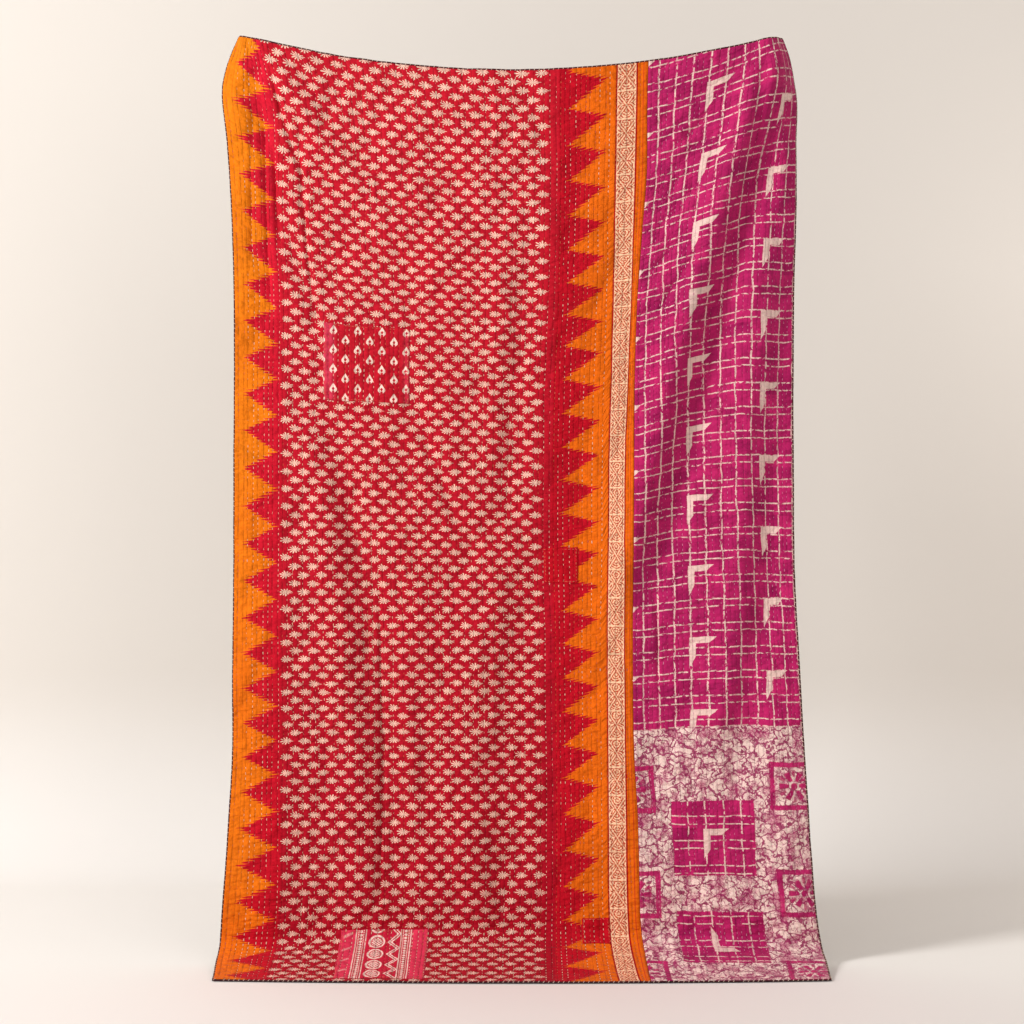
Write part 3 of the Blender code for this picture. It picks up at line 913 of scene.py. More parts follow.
LEAF_ROW = 0.01832
LEAF_FIRST = -0.009
LEAF_COLUMN = 0.03866
LEAF_LONG, LEAF_HIGH = 0.0136, 0.0076     # half of each
LEAF_SPIKES = 11
LEAF_CLEAR = 0.0130           # no leaf's middle is nearer to the field's edges


def leaf_field():
    """Red ground with staggered rows of small cream leaves that point right."""
    cloth = Cloth("leaf_print", 0.84, 0.03)
    down = cloth.down - LEAF_FIRST
    row = (down / LEAF_ROW).floor()
    shift = (row % 2.0) * (LEAF_COLUMN / 2.0)
    along = cloth.across - shift
    leaf = (along / LEAF_COLUMN).floor()
    chance = cloth.chance(leaf, row)
    other_chance = cloth.chance(leaf, row + 77.0)
    x = (along.to_middle(LEAF_COLUMN) + (chance - 0.5) * 0.0022) / LEAF_LONG + 0.10
    y = (down.to_middle(LEAF_ROW) + (other_chance - 0.5) * 0.0014) / LEAF_HIGH
    y = (y + x * ((chance - 0.5) * 0.24)) * (x * 0.40 + 1.0)
    reach = (x.reach(y) * 0.62 + (abs(x) + abs(y)) * 0.36) * (down * 0.045 + 1.0)
    turn = y.math("ARCTAN2", x) * (LEAF_SPIKES / (2 * math.pi)) + chance * 7.0
    between = abs(turn.to_middle(1.0)) * 2.0
    length = cloth.chance(turn.floor(), leaf + row * 13.0) * 0.36 + 0.86
    spike = between.before(reach * -0.66 + 1.03, 0.22) * reach.before(length, 0.07)
    cream = spike.most(reach.before(0.37, 0.07))
    middle = (leaf + 0.5) * LEAF_COLUMN + shift
    cream = cream * middle.past(LINES_FLAT[1] + LEAF_CLEAR, 0.0001)
    cream = cream * middle.before(LINES_FLAT[2] - LEAF_CLEAR, 0.0001)
    vein = between.past(0.62, 0.2) * reach.past(0.12, 0.1) * 0.65
    # the leaves are a little darker towards the foot, and so is the red ground below
    cream = cream * (vein * -1.0 + 1.0) * (chance * 0.14 + 0.83) * (down * -0.05 + 1.02)
    ground = cloth.blend(FIELD_RED, FIELD_RED_DEEP, (down * 0.45).least(1.0))
    return cloth.finish(cloth.blend(ground, CREAM, cream))


BAND_CELL = 0.0612            # from one cross bar of the band to the next
BAND_FIRST = 0.0575
BAND_HALF = 0.0161            # half the width of the cream work
BAND_RING = 0.0046            # spacing of its rings
BAND_RED_OUTSIDE = 0.0017     # how far its dark red edges reach over the orange
BAND_ROUNDS_APART = 0.0330
BAND_SPOKES = 8.0
BAND_CROSS_AT = 0.0330        # where its cross is, down the cell
BAND_CROSS_HALF = 0.0262
BAND_CROSS_SLOPE = 0.58


def woven_band():
    """Orange band with dense cream work: two ringed rounds and a cross between bars."""
    cloth = Cloth("cream_band_print", 0.80, 0.02)
    aside = cloth.across - (LINES_FLAT[3] + LINES_FLAT[4]) / 2
    y = (cloth.down - BAND_FIRST) % BAND_CELL
    stray = cloth.grain(0.0070, seed=21.0) - 0.5
    level = y - (y.past(0.0290, 0.0001) * BAND_ROUNDS_APART + 0.0130)
    radius = (aside * aside + level * level * 0.8).math("SQRT") + stray * 0.0040
    rings = (radius * (2.0 * math.pi / BAND_RING)).sine()
    spokes = (level.math("ARCTAN2", aside) * BAND_SPOKES).sine()
    flecks = cloth.grain(0.0026, 1.0, seed=22.0) - 0.5
    work = (rings * 0.8 + spokes * 0.5 + flecks * 2.6).past(-0.10, 0.5)
    work = band_cross(work, aside, y - BAND_CROSS_AT)
    work = work * (y.near(0.0048, 0.0007, 0.0006) * -0.8 + 1.0)
    work = work.most(y.before(0.0036, 0.0008)).most(abs(aside).near(0.0158, 0.0006, 0.0006) * 0.8)
    gap = cloth.blend(BAND_GAP, BAND_GAP_DEEP, cloth.grain(0.014, seed=23.0))
    colour = cloth.blend(gap, BAND_CREAM, work * 0.95)
    jagged = cloth.grain(0.0030, 1.0, stretch=(0.2, 1.0), seed=5.0) * 0.0010
    edge = abs(aside).past(jagged + (BAND_HALF - 0.0005), 0.0005)
    return cloth.finish(cloth.blend(colour, BAND_RED, edge))


def band_cross(work, aside, level):
    """The band's work with a cross of two outlined strokes over it."""
    crossing = level.near(0.0, BAND_CROSS_HALF, 0.002)
    rising, falling = aside + level * BAND_CROSS_SLOPE, aside - level * BAND_CROSS_SLOPE
    for stroke, strength in ((rising, 1.0), (falling, 0.85)):
        beside = abs(stroke).near(0.0028, 0.0009, 0.0006) * crossing * strength
        work = work * (beside * -0.9 + 1.0)
        work = work.most(stroke.near(0.0, 0.0012, 0.0008) * crossing * strength)
    return work


def orange_strip():
    """Plain orange between the band and the seam."""
    cloth = Cloth("orange_strip", 0.82, 0.03)
    line = cloth.across.near(SEAM_FLAT - 0.0075, 0.0006, 0.0006)
    colour = cloth.blend(cloth.clouded(ORANGE_DEEP, ORANGE_LIGHT, 0.20, 1.0), RED_DEEP, line * 0.7)
    beside_band = cloth.across.before(LINES_FLAT[4] + BAND_RED_OUTSIDE, 0.0005)
    return cloth.finish(cloth.blend(colour, BAND_RED, beside_band))


# ---- the batik panel's prints ----------------------------------------------------
GRID_ACROSS = 0.0334
GRID_DOWN = 0.0525
GRID_FIRST = 0.0223
PAIR_FIRST = 0.014
PAIR_APART = 0.016
MAGENTA_END = 1.501
MARKS = ((0.119, 0.55), (0.2755, 2.0), (-0.0405, 2.0))


def wax_line(distance, half_width, ragged):
    """A hand-drawn wax line: ragged along its edges."""
    return abs(distance).before(ragged * 0.0022 + (half_width - 0.0011), 0.0008)


def corner_mark(x, y):
    """A bent cream mark: a tapered arm to the right and a tapered leg down."""
    arm = y.before(0.0140, 0.0012) * (x + y * 1.0).before(0.0530, 0.0012)
    leg = (x + y * 0.04).before(0.0140, 0.0012) * (y + x * 1.7).before(0.0650, 0.0012)
    return arm.most(leg) * x.past(0.0, 0.0012) * y.past(0.0, 0.0012)


def batik_print():
    """Magenta with broken cream lines and bent marks; crackled cream below it."""
    cloth = Cloth("batik_print", 0.74, 0.05)
    ragged = cloth.grain(0.0034, seed=2.0)
    waver = cloth.grain(0.050, 1.0, seed=8.0) - 0.5
    across = cloth.across - SEAM_FLAT + waver * 0.006
    down = cloth.down + waver * 0.005
    waxed = batik_grid(cloth, across, down, ragged)
    for column_at, step in MARKS:
        y = (down - (PAIR_FIRST + GRID_DOWN * step)) % (3 * GRID_DOWN)
        x = across - column_at + (ragged - 0.5) * 0.0016
        waxed = waxed.most(corner_mark(x, y + (ragged - 0.5) * 0.0016))
    tone = cloth.grain(0.045, 3.0, seed=9.0).past(0.55, 0.5) * 0.55
    checks = cloth.chance(((across - GRID_FIRST) / GRID_ACROSS).floor(),
                          ((down - PAIR_FIRST) / (GRID_DOWN / 2)).floor())
    magenta = cloth.blend(MAGENTA, MAGENTA_DEEP, tone + checks * 0.45)
    upper = cloth.blend(magenta, BATIK_CREAM, waxed * 0.92)
    lower = crackle_ground(cloth, across, down, ragged, magenta)
    end = cloth.grain(0.030, seed=4.0) * 0.006 + (MAGENTA_END - 0.003)
    return cloth.finish(cloth.blend(upper, lower, down.past(end, 0.0015)), *BATIK_WEAR_AND_SHADE)


def batik_grid(cloth, across, down, ragged):
    """Broken upright lines, and broken level lines in pairs."""
    upright = (across - (GRID_FIRST - GRID_ACROSS / 2)).to_middle(GRID_ACROSS)
    upright = wax_line(upright, 0.0016, ragged)
    upright = upright * cloth.grain(0.010, stretch=(2.0, 1.0), seed=5.0).past(0.43, 0.10)
    one, other = [wax_line((down - (first - GRID_DOWN / 2)).to_middle(GRID_DOWN), half, ragged)
                  for first, half in ((PAIR_FIRST, 0.0015), (PAIR_FIRST + PAIR_APART, 0.0014))]
    level = one.most(other) * cloth.grain(0.010, stretch=(1.0, 2.0), seed=7.0).past(0.46, 0.10)
    return upright.most(level) * (cloth.grain(0.060, 1.0, seed=6.0) * 0.9 + 0.50).least(1.0)


SQUARES = (
    # left, top, width, height, mark x, mark y, mark's way up, first level line
    (0.071, 1.660, 0.172, 0.163, 0.068, 0.063, 1.0, 0.035),
    (0.073, 1.9005, 0.175, 0.143, 0.069, 0.1000, -1.0, 0.012),
)
TILE = 0.104
TILE_FRAME = 0.011
TILES = (
    # middle across from the seam, middle down
    (0.330, 1.630), (0.338, 1.862), (0.330, 2.087),
    (-0.012, 1.634), (-0.008, 1.865), (-0.010, 2.091),
)


def crackle_ground(cloth, across, down, ragged, magenta):
    """Cream cracked all over with dye, with magenta squares and flower tiles."""
    stain = cloth.grain(0.030, 4.0, seed=13.0)
    colour = cloth.blend(CRACKLE_CREAM, CRACKLE_PINK, stain.past(0.56, 0.18) * 0.75)
    colour = cloth.blend(colour, CRACK_DYE, crackle(cloth, across, down, stain) * 0.92)
    colour = cloth.blend(colour, magenta, flower_tiles(across, down, ragged, stain))
    for square in SQUARES:
        inside, filled = dyed_square(cloth, across, down, ragged, magenta, square)
        colour = cloth.blend(colour, filled, inside)
    return colour


def crackle(cloth, across, down, stain):
    """1 in the cracks that dye has run into: a coarse, a middling and a fine net."""
    warp, bent = cloth.grain(0.020, 4.0, seed=11.0) - 0.5, cloth.grain(0.024, 4.0, seed=12.0) - 0.5
    bleed = cloth.grain(0.007, 3.0, seed=14.0)
    dry = cloth.grain(0.018, seed=17.0)
    coarse = cloth.cracks(0.026, across + warp * 0.040, down + bent * 0.040)
    coarse = coarse.before(bleed.past(0.36, 0.4) * 0.0022 + 0.0003, 0.0008)
    middle = cloth.cracks(0.0130, across + bent * 0.030, down + warp * 0.030)
    middle = middle.before(bleed * 0.0015 + 0.0001, 0.0007) * dry.past(0.44, 0.10)
    fine = cloth.cracks(0.0066, across + bent * 0.022, down + warp * 0.022)
    fine = fine.before(bleed * 0.0012 + 0.0001, 0.0006) * stain.past(0.51, 0.08)
    return coarse.most(middle * 0.9).most(fine * 0.7)


def dyed_square(cloth, across, down, ragged, magenta, square):
    """How far a place is inside a magenta square, and the square's colour there."""
    left, top, width, height, mark_x, mark_y, way_up, first = square
    x, y = across - left, down - top
    edge = ragged * 0.004
    inside = (x.past(edge, 0.001) * x.before(edge + width, 0.001)
              * y.past(edge, 0.001) * y.before(edge + height, 0.001))
    lines = wax_line((x - 0.0175).to_middle(0.0370), 0.0014, ragged)
    for level in (first, first + 0.017):
        lines = lines.most(wax_line((y - (level - 0.0270)).to_middle(0.0540), 0.0013, ragged))
    lines = lines * cloth.grain(0.012, seed=15.0).past(0.44, 0.10)
    mark = corner_mark(x - mark_x, (y - mark_y) * way_up)
    return inside, cloth.blend(magenta, BATIK_CREAM, lines.most(mark) * 0.9)


def flower_tiles(across, down, ragged, stain):
    """Square frames, each round a flower of six petals."""
    tiles = []
    for middle_across, middle_down in TILES:
        x, y = across - middle_across, down - middle_down
        side = abs(x).most(abs(y)) + (ragged - 0.5) * 0.003
        frame_ring = side.before(TILE / 2, 0.0014) * side.past(TILE / 2 - TILE_FRAME, 0.0014)
        radius = x.reach(y)
        turned = abs((y.math("ARCTAN2", x) * 3.0).math("COSINE"))
        petal = radius.near(0.0215, 0.0105, 0.002) * turned.past(radius * 9.0 + 0.55, 0.10)
        between = radius.near(0.0285, 0.0070, 0.002) * turned.before(0.35, 0.12)
        flower = petal.most(between * 0.8).most(radius.before(0.0070, 0.0015))
        tiles.append(frame_ring.most(flower))
    return reduce(Value.most, tiles) * (stain.before(0.72, 0.30) * 0.40 + 0.58)


# ---- patches and plain cloths ----------------------------------------------------
ARCH_FIRST = 0.0080           # where the first whole row of buds begins
ARCH_ACROSS, ARCH_DOWN = 0.0260, 0.0449


def arch_print():
    """Crimson with upright rows of small cream buds."""
    cloth = Cloth("arch_print", 0.84, 0.03)
    shifted = cloth.across - ARCH_FIRST
    stripe = (shifted / ARCH_ACROSS).floor()
    x = shifted.to_middle(ARCH_ACROSS)
    y = cloth.down + (stripe % 2.0) * (ARCH_DOWN / 2.0) + (shifted * 0.030 + 0.0072)
    y = y.to_middle(ARCH_DOWN)
    ragged = cloth.grain(0.0030, seed=2.0) * 0.0016
    width = (y + 0.0105).least((y * -1.0 + 0.0125) * 1.6) * 0.62
    bud = abs(x).before(width + ragged, 0.0010) * abs(x).before(0.0078, 0.001)
    eye = (abs(x) * 1.5 + abs(y - 0.0015)).before(0.0048, 0.0010)
    notch = abs(x).before(0.0026, 0.0008) * y.past(0.0062, 0.0008)
    cream = bud * (eye.most(notch) * -1.0 + 1.0)
    line = x.near(-ARCH_ACROSS / 2, 0.0008, 0.0008)
    colour = cloth.blend(cloth.clouded(CRIMSON, CRIMSON_DEEP, 0.06), CRIMSON_LINE, line * 0.6)
    faded = cloth.across.before(0.022, 0.012).most(cloth.across.past(0.172, 0.012) * 0.6)
    colour = cloth.blend(colour, CRIMSON_FADED, faded * cloth.grain(0.02, seed=9.0))
    return cloth.finish(cloth.blend(colour, ARCH_CREAM, cream * 0.92))


DOTTED = ((0.0355, 0.0500), (0.1300, 0.1450))
CREAM_LINES = (0.0325, 0.0530, 0.1275, 0.1480)
VINE_PITCH = 0.0415
VINE_SHIFT = -0.0105
DROP_HALF_WIDTH, DROP_HALF_HEIGHT = 0.0170, 0.0185
DOT_PITCH = 0.0082


def vine_print():
    """Pink with a red column of cream drops, a zigzag and two dotted borders."""
    cloth = Cloth("vine_print", 0.84, 0.03)
    across, down = cloth.across, cloth.down
    ragged = cloth.grain(0.0030, seed=2.0)
    ghost = abs((down + across * 0.6).to_middle(VINE_PITCH)).before(0.0036, 0.002)
    ghost = ghost * across.near(0.0150, 0.0085, 0.003) * ragged
    cream = vine_borders(across, down, ragged).most(vine_drops(across, down, ragged))
    colour = cloth.blend(cloth.clouded(PINK, PINK_DEEP, 0.05), VINE_RED,
                         across.near(0.0903, 0.0578, 0.001))
    return cloth.finish(cloth.blend(colour, VINE_CREAM, cream.most(ghost * 0.7) * 0.90))


def vine_borders(across, down, ragged):
    """Cream lines, and a row of dots between two rows of teeth up each side."""
    marks = [across.near(line, 0.0012, 0.001) for line in CREAM_LINES]
    for low, high in DOTTED:
        x, y = across - (low + high) / 2, down.to_middle(DOT_PITCH)
        marks.append(x.reach(y).before(ragged * 0.002 + 0.0022, 0.001))
        side = abs(x).near((high - low) / 2 - 0.0018, 0.0011, 0.0008)
        marks.append(side * abs(down.to_middle(DOT_PITCH / 2)).before(0.0012, 0.0008))
    return reduce(Value.most, marks)


def vine_drops(across, down, ragged):
    """A column of ringed drops full of lattice, and a zigzag of two lines beside it."""
    x, y = across - 0.0790, (down + VINE_SHIFT).to_middle(VINE_PITCH)
    reach = (x / DROP_HALF_WIDTH).reach(y / DROP_HALF_HEIGHT) + x * 6.0
    lattice = [abs(way.to_middle(0.0070)).before(0.0014, 0.0008) for way in (x + y, x - y)]
    marks = [reach.before(1.0, 0.10) * reach.past(0.78, 0.10),
             reduce(Value.most, lattice) * reach.before(0.66, 0.10)]
    for start in (0.1010, 0.1075):
        zigzag_at = abs(y) * 0.9 + (ragged * 0.001 + start)
        marks.append(abs(across - zigzag_at).before(0.0018, 0.001))
    return reduce(Value.most, marks)


def plain_red():
    """Plain bright red cotton of the two small patches."""
    cloth = Cloth("plain_red_cotton", 0.84, 0.03)
    return cloth.finish(cloth.clouded(PLAIN_RED, PLAIN_RED_DEEP, 0.03))


def dark_backing():
    """Plain dark cotton behind the quilt."""
    cloth = Cloth("dark_cotton", 0.86, 0.03)
    return cloth.finish(cloth.clouded(DARK, DARK_DEEP, 0.12, 3.0), 0.14)


def hem_cloth(name, colour):
    """Plain cotton of the rolled edge."""
    cloth = Cloth(name, 0.86, 0.03, quilted=False)
    return cloth.finish(cloth.blend(colour, DARK, cloth.grain(0.02, seed=6.0) * 0.3), 0.14)


def thread(name, colour):
    """Loosely twisted cotton thread."""
    material, shader = new_material(name, {
        "Specular IOR Level": 0.25, "Sheen Weight": 0.15, "Roughness": 0.75})
    tree = material.node_tree
    place = add_node(tree, "ShaderNodeTexCoord").outputs["Object"]
    noise = add_node(tree, "ShaderNodeTexNoise", {"Vector": place, "Scale": 9.0, "Detail": 3.0})
    shaded = tuple(0.90 * c for c in colour[:3]) + (1.0,)
    mix = add_node(tree, "ShaderNodeMix", {0: noise.outputs[0], 6: colour, 7: shaded},
                   data_type="RGBA")
    set_inputs(shader, {"Base Color": mix.outputs[2]})
    return material


# ---- sheets ------------------------------------------------------------------
def sheet_faces(columns, rows, keep_columns, keep_rows):
    """Faces of a closed sheet: its fine front, its plainer back and the rim."""
    few = len(keep_rows)
    first_plain = columns * rows
    fine = np.arange(columns * rows).reshape(columns, rows)
    plain = first_plain + np.arange(len(keep_columns) * few).reshape(len(keep_columns), few)
    faces = quads(fine) + quads(plain[::-1])
    for fine_side, plain_side, kept in (
            (fine[:, 0], plain[:, 0], keep_columns),
            (fine[-1], plain[-1], keep_rows),
            (fine[::-1, -1], plain[::-1, -1], [columns - 1 - k for k in keep_columns[::-1]]),
            (fine[0, ::-1], plain[0, ::-1], [rows - 1 - k for k in keep_rows[::-1]])):
        faces += rim(fine_side, plain_side, kept)
    return faces


def quads(block):
    """Four-sided faces between the neighbours of a block of point numbers."""
    corners = (block[:-1, :-1], block[:-1, 1:], block[1:, 1:], block[1:, :-1])
    return np.stack([corner.ravel() for corner in corners], axis=-1).tolist()


def rim(fine_side, plain_side, kept):
    """Triangles from a side of the fine face to the same side of the plain one."""
    faces = []
    for k, (low, high) in enumerate(zip(kept, kept[1:])):
        half = (low + high) // 2
        here, there = int(plain_side[k]), int(plain_side[k + 1])
        for m in range(low, high):
            faces.append((int(fine_side[m]), int(fine_side[m + 1]), here if m < half else there))
        faces.append((int(fine_side[half]), there, here))
    return faces


def cloth_sheet(name, sheet, under, over, materials, edges=(), coarse=(2, 3), back=False,
                corner=None):
    """A closed sheet on a block of flat places, fine on the side that shows.

    A patch has its corner given, and is printed from there.
    """
    across, down = sheet
    keep_columns, keep_rows = [sorted(set(range(0, count, step)) | {count - 1})
                               for count, step in zip(across.shape, coarse)]
    pick = np.ix_(keep_columns, keep_rows)
    fine = place_on_cloth(across, down, under if back else over)[0]
    plain = place_on_cloth(across[pick], down[pick], (over if back else under)[pick])[0]
    faces = sheet_faces(*across.shape, keep_columns, keep_rows)
    if back:
        faces = [face[::-1] for face in faces]
    mesh = new_mesh(name, both_sides(fine, plain).tolist(), faces, materials)
    printed = (across, down - drift(across, down))
    if corner:
        printed = (across - corner[0], down - corner[1])
    for map_name, places in (("flat", printed), ("lines", (line_count(across, down), down))):
        places = np.stack(places, axis=-1)
        lay_flat(mesh, map_name, both_sides(places, places[pick]))
    x = np.append(across, across[pick])
    middles = np.array([x[list(face)].mean() for face in faces])
    mesh.polygons.foreach_set("material_index", np.searchsorted(edges, middles).astype(np.int32))
    return add_piece(name, mesh)


def both_sides(fine, plain):
    """One list of the values on a sheet's fine side and then on its plain side."""
    width = fine.shape[-1]
    return np.vstack((fine.reshape(-1, width), plain.reshape(-1, width)))


def lay_flat(mesh, name, flat):
    """Keeps a flat place of each point in a new UV map of that name."""
    corners = np.zeros(len(mesh.loops), dtype=np.int32)
    mesh.loops.foreach_get("vertex_index", corners)
    places = mesh.uv_layers.new(name=name)
    places.data.foreach_set("uv", flat[corners].astype(np.float32).ravel())


def new_mesh(name, points, faces, materials=()):
    """A smooth mesh of those points and faces."""
    mesh = bpy.data.meshes.new(name)
    mesh.from_pydata(points, [], faces)
    for material in materials:
        mesh.materials.append(material)
    mesh.shade_smooth()
    return mesh


def add_piece(name, mesh):
    """A new object at the origin that holds the mesh."""
    piece = bpy.data.objects.new(name, mesh)
    bpy.context.scene.collection.objects.link(piece)
    return piece


def block_of(low, high, row_step=1, top=EDGE, bottom=FLAT_LENGTH - EDGE):
    """Flat places of the grid's columns from low to high and rows from top to bottom."""
    keep = 1e-6
    columns = FLAT[(FLAT >= low - keep) & (FLAT <= high + keep)]
    rows = ROWS[(ROWS >= top - keep) & (ROWS <= bottom + keep)]
    kept = rows[::row_step]
    if kept[-1] != rows[-1]:
        kept = np.append(kept, rows[-1])
    return np.meshgrid(columns, kept, indexing="ij")


def front_cloths():
    """The sari panel and the batik panel, side by side on the backing."""
    sari_prints = [left_border(), leaf_field(), right_border(), woven_band(), orange_strip()]
    pieces = []
    for name, low, high, prints, edges in (
            ("sari_front", EDGE, SEAM_FLAT - GAP, sari_prints, LINES_FLAT[1:5]),
            ("batik_front", SEAM_FLAT + GAP, FLAT_WIDTH - EDGE, [batik_print()], ())):
        sheet = block_of(low, high)
        under = np.full_like(sheet[0], GAP + LOFT)
        pieces.append(cloth_sheet(name, sheet, under, front_height(*sheet), prints, edges))
    return pieces


def backing():
    """The dark cloth behind, fine on its outer face."""
    sheet = block_of(0.0, FLAT_WIDTH, 2, 0.0, FLAT_LENGTH)
    inner = np.full_like(sheet[0], -2 * LOFT)
    return cloth_sheet("backing", sheet, back_height(*sheet), inner, [dark_backing()],
                       coarse=(2, 1), back=True)


def patch(name, left, right, top, bottom, material):
    """A patch with soft, slightly uneven edges, sewn on over the front cloth."""
    width, length = right - left, bottom - top
    s, t = np.meshgrid(*(np.linspace(0.0, 1.0, int(side / PATCH_CELL) + 1)
                         for side in (width, length)), indexing="ij")
    across, down = left + width * s, top + length * t
    across = across + PATCH_WOBBLE * unevenness(across, down, 0.030, 0.022, 41)
    down = down + PATCH_WOBBLE * unevenness(across, down, 0.022, 0.030, 42)
    inside = np.minimum(np.minimum(s, 1 - s) * width, np.minimum(t, 1 - t) * length)
    turned = np.sqrt(np.clip(1.0 - (1.0 - np.clip(inside / PATCH_TURN, 0, 1)) ** 2, 0, 1))
    under = front_height(across, down) + GAP
    over = (under + PATCH_THICK * (PATCH_EDGE_SHARE + (1.0 - PATCH_EDGE_SHARE) * turned)
            + PATCH_RIM * np.exp(-inside / PATCH_RIM_REACH))
    return cloth_sheet(name, (across, down), under, over, [material], coarse=(2, 2),
                       corner=(left, top))


# ---- the hem ------------------------------------------------------------------
def hem_path():
    """Flat places round the quilt, just inside its edge, anticlockwise from the front."""
    low, right, foot = HEM_INSET, FLAT_WIDTH - HEM_INSET, FLAT_LENGTH - HEM_INSET
    corners = np.array(((right, foot), (right, low), (low, low), (low, foot)))
    path = []
    for start, end in zip(corners, np.roll(corners, -1, axis=0)):
        length = np.linalg.norm(end - start)
        run = (end - start) / length
        for along in np.linspace(HEM_CORNER, length - HEM_CORNER, int(length / HEM_STEP)):
            path.append(start + run * along)
        inward = np.array((run[1], -run[0]))
        middle = end - run * HEM_CORNER + inward * HEM_CORNER
        for turn in np.linspace(0.0, math.pi / 2, 5)[1:-1]:
            path.append(middle + HEM_CORNER * (run * math.sin(turn) - inward * math.cos(turn)))
    return np.array(path)


def hem_roll():
    """The backing's edge, rolled over the front cloths all round."""
    path = hem_path()
    count = len(path)
    place, facing = place_on_cloth(path[:, 0], path[:, 1], np.full(count, HEM_RISE))
    outward = np.cross(np.roll(place, -1, axis=0) - np.roll(place, 1, axis=0), facing)
    outward /= np.linalg.norm(outward, axis=-1, keepdims=True)
    plump = 1.0 + HEM_UNEVEN * np.random.default_rng(51).uniform(-1.0, 1.0, (count, 1))
    at_foot = (path[:, 1:] > FLAT_LENGTH - HEM_WIDTH).astype(float)
    thick = HEM_THICK / 2 * (1.0 - (1.0 - HEM_FOOT) * at_foot) * plump
    angles = np.linspace(0.0, 2 * math.pi, HEM_SIDES, endpoint=False)
    rings = np.stack([place + outward * (HEM_WIDTH / 2 * math.cos(a) * plump)
                      + facing * (math.sin(a) * thick) for a in angles], axis=1)
    number = np.arange(count * HEM_SIDES).reshape(count, HEM_SIDES)
    closed = np.vstack((number, number[:1]))
    closed = np.hstack((closed, closed[:, :1]))
    mesh = new_mesh("hem", rings.reshape(-1, 3).tolist(), quads(closed),
                    [hem_cloth("hem_outside", HEM_DARK), hem_cloth("hem_fold", HEM_FOLD)])
    flat = np.repeat(path, HEM_SIDES, axis=0)
    flat[:, 0] += np.tile(angles, count) * HEM_WIDTH / 2
    lay_flat(mesh, "flat", flat)
    is_fold = np.tile(np.arange(HEM_SIDES) == HEM_PALE, count)
    mesh.polygons.foreach_set("material_index", is_fold.astype(np.int32))
    return add_piece("hem", mesh)


# ---- threads ------------------------------------------------------------------
def stitch_shape():
    """One running stitch: a short rounded run of thread, pointed where it dives."""
    points = [(0.0, -0.5, 0.0), (0.0, 0.5, 0.0)]
    for y in (-0.28, 0.28):
        points += [(-0.5, y, 0.0), (0.0, y, 1.0), (0.5, y, 0.0)]
    faces = []
    for a, b in ((2, 3), (3, 4), (4, 2)):
        faces += [(0, b, a), (a, b, b + 3), (a, b + 3, a + 3), (1, a + 3, b + 3)]
    return add_piece("stitch", new_mesh("stitch", points, faces))


def whip_shape():
    """One stitch over the hem, from its front round its edge to its back."""
    points, faces = [], []
    for k in range(WHIP_TURNS + 1):
        angle = math.radians(WHIP_REACH) * (1.0 - 2.0 * k / WHIP_TURNS)
        for reach in (0.0, 1.0, 0.0):
            side = (-1.0, 0.0, 1.0)[len(points) % 3] * WHIP_WIDTH / 2
            x = (HEM_WIDTH / 2 + reach * THREAD_HEIGHT) * math.cos(angle)
            z = (HEM_THICK / 2 + reach * THREAD_HEIGHT) * math.sin(angle)
            points.append((x, side + WHIP_SLANT * angle, z))
        if k:
            low, high = 3 * k - 3, 3 * k
            for a, b in ((0, 1), (1, 2), (2, 0)):
                faces.append((low + a, low + b, high + b, high + a))
    faces += [(2, 1, 0), (3 * WHIP_TURNS, 3 * WHIP_TURNS + 1, 3 * WHIP_TURNS + 2)]
    return add_piece("whip", new_mesh("whip", points, faces))


def guide_lines(name, runs, height, sign=1.0):
    """A mesh of plain lines on the cloth, each point with the way the cloth faces."""
    points, edges, facings = [], [], []
    for run in runs:
        run = np.array(run)
        place, facing = place_on_cloth(run[:, 0], run[:, 1], height(run[:, 0], run[:, 1]))
        first = sum(len(block) for block in points)
        points.append(place)
        facings.append(facing * sign)
        edges += [(first + k, first + k + 1) for k in range(len(run) - 1)]
    mesh = bpy.data.meshes.new(name)
    mesh.from_pydata(np.vstack(points).tolist(), edges, [])
    attribute = mesh.attributes.new("facing", "FLOAT_VECTOR", "POINT")
    attribute.data.foreach_set("vector", np.vstack(facings).astype(np.float32).ravel())
    return add_piece(name, mesh)


THREAD_INPUTS = (
    ("Guide", "NodeSocketGeometry", None),
    ("Stitch", "NodeSocketObject", None),
    ("Pitch", "NodeSocketFloat", STITCH_PITCH),
    ("Size", "NodeSocketVector", (THREAD_WIDTH, STITCH_LENGTH, THREAD_HEIGHT)),
    ("Unevenness", "NodeSocketFloat", 0.22),
    ("Missing", "NodeSocketFloat", 0.04),
    ("Thread", "NodeSocketMaterial", None),
    ("Seed", "NodeSocketInt", 1),
)


